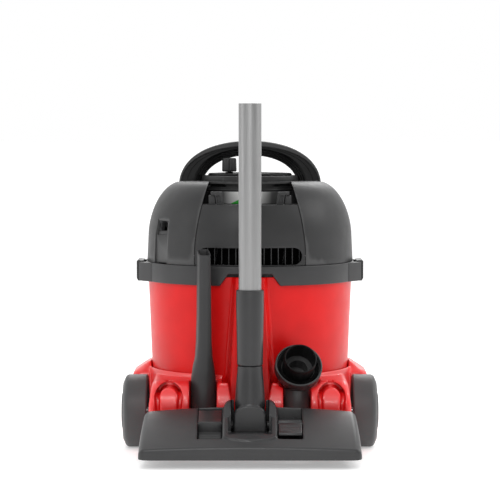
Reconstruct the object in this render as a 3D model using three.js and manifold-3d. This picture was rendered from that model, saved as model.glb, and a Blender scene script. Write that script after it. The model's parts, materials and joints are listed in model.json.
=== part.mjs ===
// Wheeled tub vacuum cleaner: a tub in a wheeled chassis, a lift-off power head with a cable winder, a docked floor
// tool with its tube, and two hand tools parked on the rear of the chassis.
// Millimetres, +Z up, +Y towards the hose inlet. The origin lies on the floor, in the middle of the bounding box.
import * as THREE from "three";
import { mergeVertices } from "three/addons/utils/BufferGeometryUtils.js";
import Module from "manifold-3d";

const wasm = await Module();
wasm.setup();

// ---- Driving dimensions -------------------------------------------------------------------------------------
// Heights count from the floor, and y from the tub's axis unless a comment says otherwise.
const AXIS_Y = 73.5; // the tub's axis, from the origin
const ROUND = 32; // facets round the outer shells
const FINE = 20; // facets round the middling parts
const SMALL = 12; // facets round the small parts
const GAP = 0.4; // clearance between parts that touch

const AXLE = { y: -95, z: 53, r: 5, half: 183 };
const WHEEL = { r: 53, inner: 149, tread: 178, outer: 187.6, bore: 5.4 };
const HUB_CAP = { r: 26, depth: 4 };
const CASTOR = { x: 101, y: 126.5, r: 21, half: 9, trail: 13, fork: 3.5, stem: 5, pin: 2.4 };

const TUB = { base: 64, rim: 252, rBase: 145.2, rRim: 152.4, wall: 3.4 };
const TOWER = { low: 66, high: 255.5, halfLow: 38, halfHigh: 26, yLow: -176, yHigh: -168 };
const CATCH = { x: 157, half: 17, low: 246, high: 250.5 };
const INLET = { z: 190, collar: 33, pipe: 23, hole: 28.5, bore: 19.5, back: 160.5, face: 172, inside: 112 };

const CHASSIS = {
  top: 118.5, skirt: 56, front: 178, side: 175, wingRear: -37, rearHalf: 145.5, rear: -150, wall: 4,
};
const SHELF = { top: 104, low: 38, rear: -198, radius: 34 };
const COLLAR = { r: 152.5, top: 111.5 };
const POCKET = { r: 19.7, floor: 49 };
const GROOVE = { x: 117, outer: 20.5, inner: 14, crown: 98, depth: 2.6 };

const RING = { low: 239.5, top: 267.5, r: 157.5, skirt: 153.3, flange: 257.2, flangeR: 112 };
const DOME = { base: 268, top: 388, wall: 4, well: 76 };
const DECK = 355.5; // floor of the recess behind the cap, and top of the rear panel
const CAP = { low: 374, top: 395.5, rLow: 73.2, rTop: 71.2, opening: 63.6 };
const DISC = { r: 62.6, low: 391, top: 399 };
const KNOB = { x: -31, r: 11.2, low: 401, top: 421.5, post: 3.4 };
const DRUM = { low: 342, high: 386, flange: 61, hub: 28 };
const MOTOR = { low: 226, top: 330, r: 56, fan: 68, fanTop: 267, shaft: 4 };
const HANDLE = {
  half: 107.5, foot: -4.5, crown: 70.5, depth: 34, band: 12.5, pivotZ: 377.5, lean: 22, pin: 2.4, taper: 0.1,
};
const GRILLE = { half: 75.5, low: 269, high: 294, pitch: 10.2, bar: 1.8 };
const PORT = { azimuth: 211, z: 323, flat: 149.3, width: 38, height: 29 };
const LATCH = { outer: 169, half: 27, low: 239, top: 270, pinX: 161.2, pinZ: 263.5, pinR: 1.8 };
const SWITCH = { y: 141, z: 322, half: 15, height: 26 };

// The docked floor tool: its y values count from the tube's axis.
const WAND = { y: -228, tube: 16, wall: 1.2, low: 150, top: 501 };
const CUFF = { r: 19.6, top: 239.5, low: 133 };
const TOOL = { low: 12, sole: 4, half: 154, rearHalf: 146, front: -97, rear: 14, pivotY: -8, pivotZ: 50 };
const PEDAL = { inner: 38.5, outer: 73, front: -78, rear: 0, pivotY: -38, pivotZ: 55, tilt: 12, pin: 2.2 };
const ROLLER = { x: 100, y: 1, r: 9, half: 7, pin: 2 };
const TONGUE = { low: 97, high: 121 };

// Parked hand tools; the nozzle's cup points up and backwards out of a bend.
const CREVICE = { x: -67, y: -160, r: 18.3, low: 50, tip: 299, yaw: 8 };
const NOZZLE = { x: 67, y: -160, r: 18.6, low: 50, bend: 114, cup: 34, elevation: 35, yaw: 8 };

// ---- Materials ----------------------------------------------------------------------------------------------
const material = (color, roughness, metalness = 0) =>
  new THREE.MeshStandardMaterial({ color, roughness, metalness, flatShading: true });
const RED = material(0xd42a26, 0.35);
const GRAPHITE = material(0x3b3c3e, 0.5);
const CHARCOAL = material(0x4d4f50, 0.45);
const BLACK = material(0x141415, 0.6);
const WHEEL_GREY = material(0x4a4b4c, 0.6);
const STEEL = material(0xa8aaac, 0.35, 1);
const TUBE_GREY = material(0xa4a5a6, 0.4, 0.6);
const COPPER = material(0xa5623a, 0.4, 1);
const RUBBER = material(0x1c1c1c, 0.9);
const CLOTH = material(0xd9d6cc, 0.95);
const LABEL = material(0xd9ded9, 0.3);

// ---- Cutting and joining ------------------------------------------------------------------------------------
// A solid from a closed geometry: vertices merged, collapsed triangles dropped, faces turned outwards.
function solid(geometry) {
  const bare = geometry.clone();
  bare.deleteAttribute("normal");
  bare.deleteAttribute("uv");
  const merged = geometry.hasAttribute("uv") ? mergeVertices(bare, 1e-4) : bare;
  const positions = merged.attributes.position.array;
  const index = merged.index.array;
  const triangles = [];
  for (let i = 0; i < index.length; i += 3) {
    const [a, b, c] = index.subarray(i, i + 3);
    if (a !== b && b !== c && c !== a) triangles.push([a, b, c]);
  }
  const point = (i) => new THREE.Vector3().fromArray(positions, 3 * i);
  const volume = triangles.reduce((sum, [a, b, c]) => sum + point(a).dot(point(b).cross(point(c))), 0);
  const facing = triangles.map(([a, b, c]) => (volume < 0 ? [a, c, b] : [a, b, c]));
  const triVerts = new Uint32Array(facing.flat());
  return new wasm.Manifold(new wasm.Mesh({ numProp: 3, vertProperties: positions, triVerts }));
}

function geometryOf(body) {
  const { vertProperties, triVerts } = body.getMesh();
  const geometry = new THREE.BufferGeometry();
  geometry.setAttribute("position", new THREE.BufferAttribute(new Float32Array(vertProperties), 3));
  return geometry.setIndex(new THREE.BufferAttribute(new Uint32Array(triVerts), 1));
}

const join = (...pieces) => geometryOf(pieces.map(solid).reduce((all, one) => all.add(one)));
const cut = (...pieces) => geometryOf(pieces.map(solid).reduce((left, tool) => left.subtract(tool)));
const common = (...pieces) => geometryOf(pieces.map(solid).reduce((all, one) => all.intersect(one)));

// A named mesh with a geometry's closed surface.
function part(name, geometry, look) {
  const mesh = new THREE.Mesh(geometryOf(solid(geometry)), look);
  mesh.geometry.computeVertexNormals();
  mesh.name = name;
  return mesh;
}

// The same mesh or group, moved to a place.
function at(object, x, y, z) {
  object.position.set(x, y, z);
  return object;
}

function group(...children) {
  const holder = new THREE.Group();
  holder.add(...children);
  return holder;
}

// ---- Shapes -------------------------------------------------------------------------------------------------
const rad = THREE.MathUtils.degToRad;
const moved = (geometry, x, y, z) => geometry.clone().translate(x, y, z);
const mirrored = (geometry) => geometry.clone().scale(-1, 1, 1);
const onBothSides = (geometry) => [geometry, mirrored(geometry)];

function box(x0, x1, y0, y1, z0, z1) {
  const geometry = new THREE.BoxGeometry(x1 - x0, y1 - y0, z1 - z0);
  return geometry.translate((x0 + x1) / 2, (y0 + y1) / 2, (z0 + z1) / 2);
}

// A body turned about the Z axis from a profile of [radius, z] points that starts and ends on the axis or closes.
function turned(profile, facets = ROUND) {
  const points = profile.map(([r, z]) => new THREE.Vector2(r, z));
  return new THREE.LatheGeometry(points, facets).rotateX(Math.PI / 2);
}

const rod = (r, z0, z1, facets = SMALL) => turned([[0, z0], [r, z0], [r, z1], [0, z1]], facets);
const ring = (r0, r1, z0, z1, facets = ROUND) =>
  turned([[r0, z0], [r1, z0], [r1, z1], [r0, z1], [r0, z0]], facets);

// The same bodies about the X and the Y axis.
const alongX = (geometry) => geometry.clone().rotateY(Math.PI / 2);
const alongY = (geometry) => geometry.clone().rotateX(-Math.PI / 2);
const rodX = (r, x0, x1, y, z, facets = SMALL) => alongX(rod(r, x0, x1, facets)).translate(0, y, z);
const rodY = (r, y0, y1, x, z, facets = SMALL) => alongY(rod(r, y0, y1, facets)).translate(x, 0, z);

const outline = (points) => new THREE.Shape(points.map(([a, b]) => new THREE.Vector2(a, b)));

// An outline in (x, y) pushed along Z; a bevel of a height and a width rounds its edges within the outer size.
function prismZ(shape, z0, z1, { bevel = 0, width = bevel, steps = 5 } = {}) {
  const geometry = new THREE.ExtrudeGeometry(shape, {
    depth: z1 - z0 - 2 * bevel,
    curveSegments: steps,
    bevelEnabled: bevel > 0,
    bevelSize: width,
    bevelThickness: bevel,
    bevelOffset: -width,
    bevelSegments: 2,
  });
  return geometry.translate(0, 0, z0 + bevel);
}

// An outline in (y, z) pushed along X, and one in (x, z) pushed along Y.
const prismX = (shape, x0, x1, edges) => prismZ(shape, x0, x1, edges).rotateX(Math.PI / 2).rotateZ(Math.PI / 2);
const prismY = (shape, y0, y1, edges) => prismZ(shape, -y1, -y0, edges).rotateX(Math.PI / 2);

// A closed body through levels of points, each level a list of [x, y, z] with the same number of points.
function loft(levels) {
  const n = levels[0].length;
  const positions = levels.flat(2);
  const index = [];
  for (let k = 0; k + 1 < levels.length; k++) {
    for (let i = 0; i < n; i++) {
      const a = k * n + i;
      const b = k * n + ((i + 1) % n);
      index.push(a, b, b + n, a, b + n, a + n);
    }
  }
  for (const [k, flip] of [[0, true], [levels.length - 1, false]]) {
    const middle = positions.length / 3;
    positions.push(...[0, 1, 2].map((axis) => levels[k].reduce((sum, point) => sum + point[axis], 0) / n));
    for (let i = 0; i < n; i++) {
      const a = k * n + i;
      const b = k * n + ((i + 1) % n);
      index.push(middle, flip ? b : a, flip ? a : b);
    }
  }
  const geometry = new THREE.BufferGeometry();
  geometry.setAttribute("position", new THREE.Float32BufferAttribute(positions, 3));
  return geometry.setIndex(index);
}

// A level of points on a squared ellipse: power 2 is an ellipse, higher is squarer.
function squircle(halfX, halfY, z, power, shiftY = 0) {
  return Array.from({ length: FINE }, (_, i) => {
    const t = (2 * Math.PI * i) / FINE;
    const [c, s] = [Math.cos(t), Math.sin(t)];
    const scale = (Math.abs(c) ** power + Math.abs(s) ** power) ** (-1 / power);
    return [halfX * c * scale, halfY * s * scale + shiftY, z];
  });
}

// A slot with rounded ends, in (x, z).
function slot(half, low, high) {
  const r = (high - low) / 2;
  const shape = new THREE.Shape();
  shape.moveTo(-half + r, low);
  shape.lineTo(half - r, low);
  shape.absarc(half - r, low + r, r, -Math.PI / 2, Math.PI / 2, false);
  shape.lineTo(-half + r, high);
  shape.absarc(-half + r, low + r, r, Math.PI / 2, (3 * Math.PI) / 2, false);
  return shape;
}

// A body about the axis of the nozzle's cup, brought into the nozzle's own upright frame.
const alongCup = (geometry) =>
  geometry.clone().rotateX(rad(90 - NOZZLE.elevation)).rotateZ(rad(NOZZLE.yaw)).translate(0, 0, NOZZLE.bend);

// ---- Chassis ------------------------------------------------------------------------------------------------
// Plan of the chassis body, inset from its outer edge.
function chassisPlan(inset) {
  const r = CHASSIS.front - inset;
  const side = CHASSIS.side - inset;
  const rearHalf = CHASSIS.rearHalf - inset;
  const wing = CHASSIS.wingRear + inset;
  const turn = Math.acos(side / r);
  const shape = new THREE.Shape();
  shape.moveTo(side, r * Math.sin(turn));
  shape.absarc(0, 0, r, turn, Math.PI - turn, false);
  shape.lineTo(-side, wing);
  shape.lineTo(-rearHalf, wing);
  shape.lineTo(-rearHalf, CHASSIS.rear + inset);
  shape.lineTo(rearHalf, CHASSIS.rear + inset);
  shape.lineTo(rearHalf, wing);
  shape.lineTo(side, wing);
  return shape;
}

// Side profile, in (y, z), of the shelf that carries the tools behind the tub.
function shelfProfile(inset) {
  const top = SHELF.top - inset;
  const rear = SHELF.rear + inset;
  const r = SHELF.radius - inset;
  const shape = new THREE.Shape();
  shape.moveTo(-40, SHELF.low);
  shape.lineTo(-40, top);
  shape.lineTo(rear + r, top);
  shape.absarc(rear + r, top - r, r, Math.PI / 2, Math.PI, false);
  shape.lineTo(rear, SHELF.low);
  return shape;
}

// A horseshoe-shaped groove, open downwards, in (x, z).
function horseshoe({ x, outer, inner, crown }) {
  const shape = new THREE.Shape();
  const foot = SHELF.low - 2;
  const centre = crown - outer;
  shape.moveTo(x + outer * 0.8, foot);
  shape.lineTo(x + outer, centre);
  shape.absarc(x, centre, outer, 0, Math.PI, false);
  shape.lineTo(x - outer * 0.8, foot);
  shape.lineTo(x - inner * 0.75, foot);
  shape.lineTo(x - inner, centre);
  shape.absarc(x, centre, inner, Math.PI, 0, true);
  shape.lineTo(x + inner * 0.75, foot);
  return shape;
}

// The red shell before anything is cut out of it: main body, tool shelf, tub collar, bosses and axle tube.
function chassisBody() {
  const { wall, skirt, top, rearHalf } = CHASSIS;
  const main = join(
    prismZ(chassisPlan(0), skirt + 10, top, { bevel: 16, width: 24, steps: 7 }),
    prismZ(chassisPlan(0), skirt, top - 30, { steps: 7 }),
  );
  const aboveShelf = box(-200, 200, -260, -70, SHELF.top, top + 1);
  const shelf = prismX(shelfProfile(0), -rearHalf, rearHalf, { bevel: 3, steps: 4 });
  const shelfHollow = prismX(shelfProfile(wall), wall - rearHalf, rearHalf - wall, { steps: 3 });
  const underShelf = box(-200, 200, -260, -66, SHELF.top - wall, top);
  const mainHollow = cut(prismZ(chassisPlan(wall), skirt - 2, top - 13), underShelf);
  const hollows = [mainHollow, moved(shelfHollow, 0, 0, -wall)];
  const castorBoss = moved(rod(11, skirt, top - 10), CASTOR.x, CASTOR.y, 0);
  const toolSocket = moved(rod(POCKET.r + 3.6, POCKET.floor - 5, SHELF.top - 4, FINE), CREVICE.x, CREVICE.y, 0);
  const cupSeat = moved(alongCup(rod(NOZZLE.cup + 5, -18, 80, FINE)), NOZZLE.x, NOZZLE.y, 0);
  return join(
    cut(join(cut(main, aboveShelf), shelf), ...hollows),
    rod(COLLAR.r, TUB.base - 6, COLLAR.top, ROUND),
    box(-43.5, 43.5, -181, -120, TUB.base - 6, SHELF.top - 1),
    rodX(12, -rearHalf, rearHalf, AXLE.y, AXLE.z),
    common(cupSeat, prismX(shelfProfile(1), -140, 140, { steps: 4 })),
    ...onBothSides(castorBoss),
    ...onBothSides(toolSocket),
  );
}

function chassis() {
  const pocket = moved(rod(POCKET.r, POCKET.floor, 140, FINE), CREVICE.x, CREVICE.y, 0);
  const mouth = box(CREVICE.x - POCKET.r, CREVICE.x + POCKET.r, -215, CREVICE.y, POCKET.floor + 13, 140);
  const stemHole = moved(rod(CASTOR.stem + GAP, CHASSIS.skirt - 2, 93), CASTOR.x, CASTOR.y, 0);
  const deeper = prismX(shelfProfile(GROOVE.depth), -150, 150, { steps: 4 });
  const groove = cut(prismY(horseshoe(GROOVE), -215, -160, { steps: 3 }), deeper);
  const valley = outline([[-33, 130], [-33, 105], [-24, 60], [24, 60], [33, 105], [33, 130]]);
  const cupScoop = moved(alongCup(rod(NOZZLE.cup + 1.6, -16, 80, FINE)), NOZZLE.x, NOZZLE.y, 0);
  const hollowed = cut(
    chassisBody(),
    rod(TUB.rBase + 3.1, TUB.base - GAP, CHASSIS.top + 10, ROUND),
    box(-39.5, 39.5, -177.5, -120, TUB.base - GAP, CHASSIS.top + 10),
    prismY(valley, -215, -150),
    rodX(AXLE.r + GAP, -200, 200, AXLE.y, AXLE.z),
    cupScoop,
    ...[pocket, mouth, stemHole, groove].flatMap(onBothSides),
  );
  const peg = moved(rod(8, POCKET.floor - 2, POCKET.floor + 17), CREVICE.x, CREVICE.y, 0);
  return join(hollowed, ...onBothSides(peg));
}

// ---- Running gear -------------------------------------------------------------------------------------------
// Right-hand wheel about its axle: flat tread, rounded shoulder, slightly domed outer face, hollow inner face.
function wheel() {
  const { r, inner, tread, outer, bore } = WHEEL;
  const seat = outer - HUB_CAP.depth - 1;
  return alongX(turned([
    [bore, inner + 6], [13, inner + 6], [13, inner + 20], [45, inner + 20], [45, inner], [r - 2, inner],
    [r, inner + 2], [r, tread - 1.5], [r - 4, tread + 3.6], [r - 14, tread + 7.4],
    [HUB_CAP.r + 0.5, outer - 0.6], [HUB_CAP.r + 0.5, seat], [bore, seat], [bore, inner + 6],
  ], 24));
}

function hubCap() {
  const { outer } = WHEEL;
  const { r, depth } = HUB_CAP;
  return alongX(turned([[0, outer - depth], [r, outer - depth], [r, outer - 0.5], [0, outer + 0.4]], FINE));
}

// Castor parts stand about the swivel axis.
function castorFork() {
  const { r, half, trail, fork, stem, pin } = CASTOR;
  const gap = half + 1;
  const crown = 2 * r + 4;
  const arm = outline([[8, crown], [-10, crown], [-trail - 6, r - 4], [-trail, r - 7], [-trail + 6, r - 4]]);
  const cheek = prismX(arm, gap, gap + fork);
  const body = join(
    rod(16, crown, crown + 5),
    rod(stem, crown, 90),
    box(-gap - fork, gap + fork, -10, 8, crown - 0.5, crown + 4),
    ...onBothSides(cheek),
  );
  return cut(body, rodX(pin + 0.3, -30, 30, -trail, r));
}

const castorPin = () => rodX(CASTOR.pin, -13, 13, -CASTOR.trail, CASTOR.r);

function castorWheel() {
  const { r, half, pin } = CASTOR;
  const bore = pin + GAP;
  return alongX(turned([
    [bore, -half], [r - 2, -half], [r, -half + 3], [r, half - 3], [r - 2, half], [bore, half], [bore, -half],
  ], FINE));
}

function runningGear() {
  const gear = group(part("rear_axle", rodX(AXLE.r, -AXLE.half, AXLE.half, AXLE.y, AXLE.z), STEEL));
  for (const [label, side] of [["left", -1], ["right", 1]]) {
    const rearWheel = group(
      part("wheel_" + label, wheel(), WHEEL_GREY),
      part("hub_cap_" + label, hubCap(), GRAPHITE),
    );
    rearWheel.rotation.z = side < 0 ? Math.PI : 0;
    const castor = group(
      part("castor_fork_" + label, castorFork(), BLACK),
      part("castor_pin_" + label, castorPin(), STEEL),
      at(part("castor_wheel_" + label, castorWheel(), WHEEL_GREY), 0, -CASTOR.trail, CASTOR.r),
    );
    gear.add(at(rearWheel, 0, AXLE.y, AXLE.z), at(castor, side * CASTOR.x, CASTOR.y, 0));
  }
  return gear;
}

// ---- Tub, bag and filter ------------------------------------------------------------------------------------
function tub() {
  const { base, rim, rBase, rRim, wall } = TUB;
  const outer = turned([
    [0, base], [rBase - 9, base], [rBase - 2.5, base + 2.5], [rBase, base + 9],
    [rRim, rim - 6], [rRim, rim], [0, rim],
  ]);
  const hollow = turned([
    [0, base + wall], [rBase - 12, base + wall], [rBase - wall, base + 12], [rRim - wall, rim - 6],
    [rRim - wall, rim + 2], [0, rim + 2],
  ]);
  const { low, high, halfLow, halfHigh, yLow, yHigh } = TOWER;
  const level = (half, y, z) => [[-half, -130, z], [half, -130, z], [half * 0.8, y, z], [-half * 0.8, y, z]];
  const tower = cut(
    loft([level(halfLow, yLow, low), level(halfHigh, yHigh, high - 8), level(halfHigh - 2, yHigh + 5, high)]),
    rod(RING.skirt - 0.5, rim, 270, ROUND),
  );
  const catches = cut(
    box(-CATCH.x, CATCH.x, -CATCH.half, CATCH.half, CATCH.low, CATCH.high),
    rod(rRim - 12, CATCH.low - 1, CATCH.high + 1, ROUND),
  );
  const inletBoss = rodY(INLET.collar, 130, INLET.back - 0.5, 0, INLET.z, FINE);
  const inletHole = rodY(INLET.hole, 100, 180, 0, INLET.z, FINE);
  return cut(join(outer, tower, catches, inletBoss), hollow, inletHole);
}

// Hose inlet parts are turned about the inlet's axis.
function inletCollar() {
  const { collar, pipe, bore, back, face } = INLET;
  const seat = pipe + GAP;
  return alongY(turned([
    [seat, back], [collar, back], [collar, face - 3], [collar - 2, face - 1], [collar - 5, face], [bore, face],
    [bore, face - 5], [seat, face - 5], [seat, back],
  ], FINE));
}

// Pipe that the hose plugs into, with a shoulder that fills the hole in the tub.
function inletPipe() {
  const { bore, pipe, hole, inside, back, face } = INLET;
  const [shoulder, outer, end] = [hole - GAP, back - GAP, face - 5 - GAP];
  return alongY(turned([
    [bore, inside], [pipe, inside], [pipe, 136], [shoulder, 139], [shoulder, outer], [pipe, outer], [pipe, end],
    [bore, end], [bore, inside],
  ], FINE));
}

// The filled dust bag: a squat rounded body on the tub's floor, with a card collar pushed over the inlet pipe.
function dustBag() {
  const hole = INLET.pipe + GAP;
  const round = (geometry) => moved(alongY(geometry), 0, 0, INLET.z);
  const bag = turned([[0, 70], [96, 70], [122, 82], [124, 118], [100, 140], [0, 147]], FINE);
  const throat = moved(loft([squircle(26, 11, 130, 2), squircle(24, 10, 168, 2)]), 0, 105, 0);
  const collar = round(ring(hole, 34, 114, 118, FINE));
  const neck = round(ring(hole, 29, 98, 116, FINE));
  return cut(join(bag, collar, neck, throat), round(rod(hole, 94, 130, FINE)));
}

const filterSeal = () => ring(140.8, 151.6, 252.4, 256.8, FINE);

function filterCloth() {
  return turned([
    [0, 160], [78, 160], [84, 164], [92, 214], [134, 250], [138.6, 252.4], [138.6, 256.4], [132, 256.4],
    [131, 251.4], [89, 215.4], [81, 166.6], [77, 163], [0, 163],
  ], FINE);
}

// Bracket on the tower that the docked tool's T-shaped tongue drops into.
function wandBracket() {
  const [low, high] = [92, 124];
  const cheek = box(10.5, 15, -203, -182, low, high);
  const lip = box(6, 15, -203, -199.5, low, high);
  return join(
    box(-15, 15, -182.5, TOWER.yLow + 0.6, low, high),
    box(-15, 15, -203, -182, low, low + 3.5),
    ...[cheek, lip].flatMap(onBothSides),
  );
}

function container() {
  return group(
    part("tub", tub(), RED),
    part("dust_bag", dustBag(), CLOTH),
    part("filter_seal", filterSeal(), RUBBER),
    part("filter_cloth", filterCloth(), CLOTH),
    part("wand_bracket", wandBracket(), GRAPHITE),
    at(part("hose_inlet_collar", inletCollar(), BLACK), 0, 0, INLET.z),
    at(part("inlet_pipe", inletPipe(), GRAPHITE), 0, 0, INLET.z),
  );
}

// ---- Shell of the power head --------------------------------------------------------------------------------
// Outer profile of the dome as [radius, z], from the ring up; inset moves it inwards.
function domeProfile(inset) {
  const profile = [[154, 268], [152, 316], [150, 336], [143, 355], [129, 373.5], [110, 386], [102, 388]];
  const shoulder = 345;
  return profile.map(([r, z]) => {
    const lean = Math.max(0, z - shoulder) / (DOME.top - shoulder);
    return [r - inset * (1 - 0.2 * lean), z - inset * lean];
  });
}

function domeShell(inset) {
  const outer = domeProfile(inset);
  const inner = domeProfile(inset + DOME.wall).reverse();
  const top = outer[outer.length - 1][1];
  return turned([...outer, [DOME.well, top], [DOME.well, top - DOME.wall], ...inner, outer[0]]);
}

const domeSolid = () => turned([[0, DOME.base], ...domeProfile(0.2), [0, DOME.top - 0.2]]);

// Outline, in (x, z), of the rear panel and of the recess above it, up to a height; grow moves it outwards.
function panelOutline(grow, top) {
  const edge = [
    [80.8, 255], [80.6, 290], [79.6, 308], [77.3, 325], [71.6, 346], [66.2, 362], [62, 376], [60, 393],
  ];
  const kept = edge.filter(([, z]) => z < top);
  const [lastX, lastZ] = kept[kept.length - 1];
  const [nextX, nextZ] = edge[kept.length] ?? [lastX, top];
  const right = [...kept, [lastX + ((nextX - lastX) * (top - lastZ)) / (nextZ - lastZ), top]];
  const left = right.map(([x, z]) => [-x - grow, z]).reverse();
  return outline([...right.map(([x, z]) => [x + grow, z]), ...left]);
}

// Clamping ring: a skirt over the tub's rim, a flange over the filter, lugs for the latches, a notch at the rear.
function headRing() {
  const { low, top, r, skirt, flange, flangeR } = RING;
  const lugs = cut(box(-165, 165, -34, 34, low + 1, top), rod(skirt, low - 2, top + 4, ROUND));
  const notch = outline([[-44, low - 1], [-31.5, 256.5], [31.5, 256.5], [44, low - 1]]);
  const catchRoom = box(-165.5, 165.5, -21, 21, low - 1, 252.5);
  const latchBay = join(box(158.6, 170, -28, 28, low - 1, top + 3), box(155, 170, -28, 28, 256, top + 3));
  const pinHole = rodY(LATCH.pinR + 0.3, -40, 40, LATCH.pinX, LATCH.pinZ);
  const rims = [
    ring(skirt, r, low, flange + 4), ring(flangeR, r, flange, flange + 4), ring(skirt - 3, r, flange, top),
  ];
  return cut(
    join(...rims, lugs),
    prismY(notch, -175, -120),
    catchRoom,
    ...[latchBay, pinHole].flatMap(onBothSides),
  );
}

// A body in the cable outlet's own axes (x outwards), turned to face its way out of the dome.
const facingPort = (geometry) => geometry.clone().rotateZ(rad(PORT.azimuth));

function headDome() {
  const { z, flat, width, height } = PORT;
  const behind = (shape) => prismY(shape, -200, -20);
  const wellSolid = rod(DOME.well + 4, 240, 400, ROUND);
  const opening = cut(behind(panelOutline(0, 393)), wellSolid);
  const well = ring(DOME.well, DOME.well + 3, DECK - 4, DOME.top - 1);
  const deck = common(ring(DOME.well, 136.6, DECK - 4, DECK - 0.5), behind(panelOutline(2, DECK)));
  const aboveDeck = box(-100, 100, -160, -50, DECK - 4, 392);
  const recessWalls = cut(behind(panelOutline(3, 392)), behind(panelOutline(0, 393)), wellSolid);
  const post = prismY(outline([[36, DECK - 1], [52, DECK - 1], [50, 372], [40, 372]]), -124, -112);
  const bearing = box(HANDLE.half + 1.3, HANDLE.half + 6, -6, 6, 371, 382.5);
  const portPad = facingPort(box(120, 146.5, -width / 2, width / 2, z - height / 2 - 1, z + height / 2 + 1));
  const flatBacking = facingPort(box(145, 154, -18, 18, DOME.base, z - height / 2));
  const capNotch = common(ring(DOME.well - 1, 160, CAP.low - 0.6, 400), opening);
  const body = join(
    cut(domeShell(0), opening),
    cut(well, capNotch),
    deck,
    common(recessWalls, domeSolid(), aboveDeck),
    common(portPad, domeSolid()),
    common(flatBacking, domeSolid()),
    ...[post, bearing].flatMap(onBothSides),
  );
  const portFlat = facingPort(box(flat, 170, -24, 24, 266, z + height / 2));
  const panelHalf = width / 2 - 1;
  const portPanel = facingPort(box(flat - 2.6, 170, -panelHalf, panelHalf, z - height / 2, z + height / 2));
  const portHole = facingPort(box(110, 170, -15.5, 15.5, z - 6.5, z + 6.5));
  const half = SWITCH.height / 2;
  const switchHole = box(-SWITCH.half, SWITCH.half, 120, 170, SWITCH.z - half, SWITCH.z + half);
  const handleSlot = box(79.4, HANDLE.half + 1.1, -27, 27, 368, 392);
  const pivotHole = rodX(HANDLE.pin + GAP, 100, HANDLE.half + 5, 0, HANDLE.pivotZ);
  const handleHoles = [handleSlot, pivotHole].flatMap(onBothSides);
  return cut(body, capNotch, portFlat, portPanel, portHole, switchHole, ...handleHoles);
}

function rearPanel() {
  const panel = common(domeShell(1.2), prismY(panelOutline(-0.6, DECK), -200, -60));
  return cut(panel, prismY(slot(GRILLE.half, GRILLE.low, GRILLE.high), -200, -60));
}

// Exhaust grille: a curved strip behind the panel's slot, with upright windows between its bars.
function exhaustGrille() {
  const { half, low, high, pitch, bar } = GRILLE;
  const strip = common(ring(141, 146, low - 2, high + 2), box(-half, half, -170, -100, low - 3, high + 3));
  const count = Math.floor(half / pitch);
  const windows = Array.from({ length: 2 * count }, (_, i) => {
    const x = (i - count) * pitch;
    return box(x + bar / 2, x + pitch - bar / 2, -170, -100, low, high);
  });
  return cut(strip, ...windows);
}

const exhaustFoam = () => common(ring(124, 136, 269, 297), box(-78, 78, -170, -90, 260, 300));

// Cap round the winder, with two slots at the rear.
function topCap() {
  const { low, top, rLow, rTop, opening } = CAP;
  const body = turned([
    [opening, low], [rLow + 1.4, low], [rLow, low + 1.6], [rTop + 0.6, top - 1.6], [rTop - 0.8, top],
    [opening, top], [opening, low],
  ]);
  const notch = prismY(outline([[34, 379.5], [66, 379.5], [66, 385.5], [40, 385.5]]), -90, -30);
  return cut(body, ...onBothSides(cut(notch, rod(rLow - 3.2, 370, 390, ROUND))));
}

// A curved plate stood on the recess floor against the well.
function labelPlate() {
  const plate = ring(DOME.well + 3.4, DOME.well + 5.2, DECK, 373);
  return common(plate, prismY(outline([[-38, 354], [-42, 374], [42, 374], [38, 354]]), -100, -60));
}

// Plate with the cable's throat and a guide pin.
function cablePort() {
  const { z, flat } = PORT;
  const plate = box(flat - 12, flat - 3.2, -15, 15, z - 6, z + 6);
  const throat = box(flat - 13, flat - 1, -12.5, 12.5, z - 3.8, z + 3.8);
  return join(cut(plate, throat), moved(rod(1.4, z - 5, z + 5), flat - 5.2, -8, 0));
}

// Switch parts stand about the rocker's pivot.
function switchHousing() {
  const half = SWITCH.half;
  const tall = SWITCH.height / 2;
  return cut(
    box(-half + GAP, half - GAP, -6, 9.5, -tall + GAP, tall - GAP),
    box(-half + 3, half - 3, -4.4, 20, -tall + 1.5, tall - 1.5),
  );
}

function switchRocker() {
  const profile = outline([[-1.5, -8.8], [5.5, -9.4], [7.2, 0], [10.5, 9.2], [-1.5, 8.8]]);
  return prismX(profile, -SWITCH.half + 3.6, SWITCH.half - 3.6);
}

// ---- Carry handle -------------------------------------------------------------------------------------------
// An arch in (x, z) between an outer and an inner curve that start at the handle's foot.
function arch(half, crown, innerHalf, innerCrown) {
  const { foot } = HANDLE;
  const bend = 0.64; // how far up the arch its sides stay upright
  const spread = 0.6; // how far out along the arch its crown stays level
  const rise = (top) => foot + bend * (top - foot);
  const shape = new THREE.Shape();
  shape.moveTo(half, foot);
  shape.bezierCurveTo(half, rise(crown), half * spread, crown, 0, crown);
  shape.bezierCurveTo(-half * spread, crown, -half, rise(crown), -half, foot);
  shape.lineTo(-innerHalf, foot);
  shape.bezierCurveTo(-innerHalf, rise(innerCrown), -innerHalf * spread, innerCrown, 0, innerCrown);
  shape.bezierCurveTo(innerHalf * spread, innerCrown, innerHalf, rise(innerCrown), innerHalf, foot);
  return shape;
}

// The same geometry, drawn in sideways towards the front, so that the arch's inside faces back a little.
function tapered(geometry) {
  const narrower = geometry.clone();
  const position = narrower.getAttribute("position");
  for (let i = 0; i < position.count; i++) {
    const share = HANDLE.taper * (position.getY(i) / HANDLE.depth + 0.5);
    position.setX(i, position.getX(i) * (1 - share));
  }
  return narrower;
}

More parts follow.
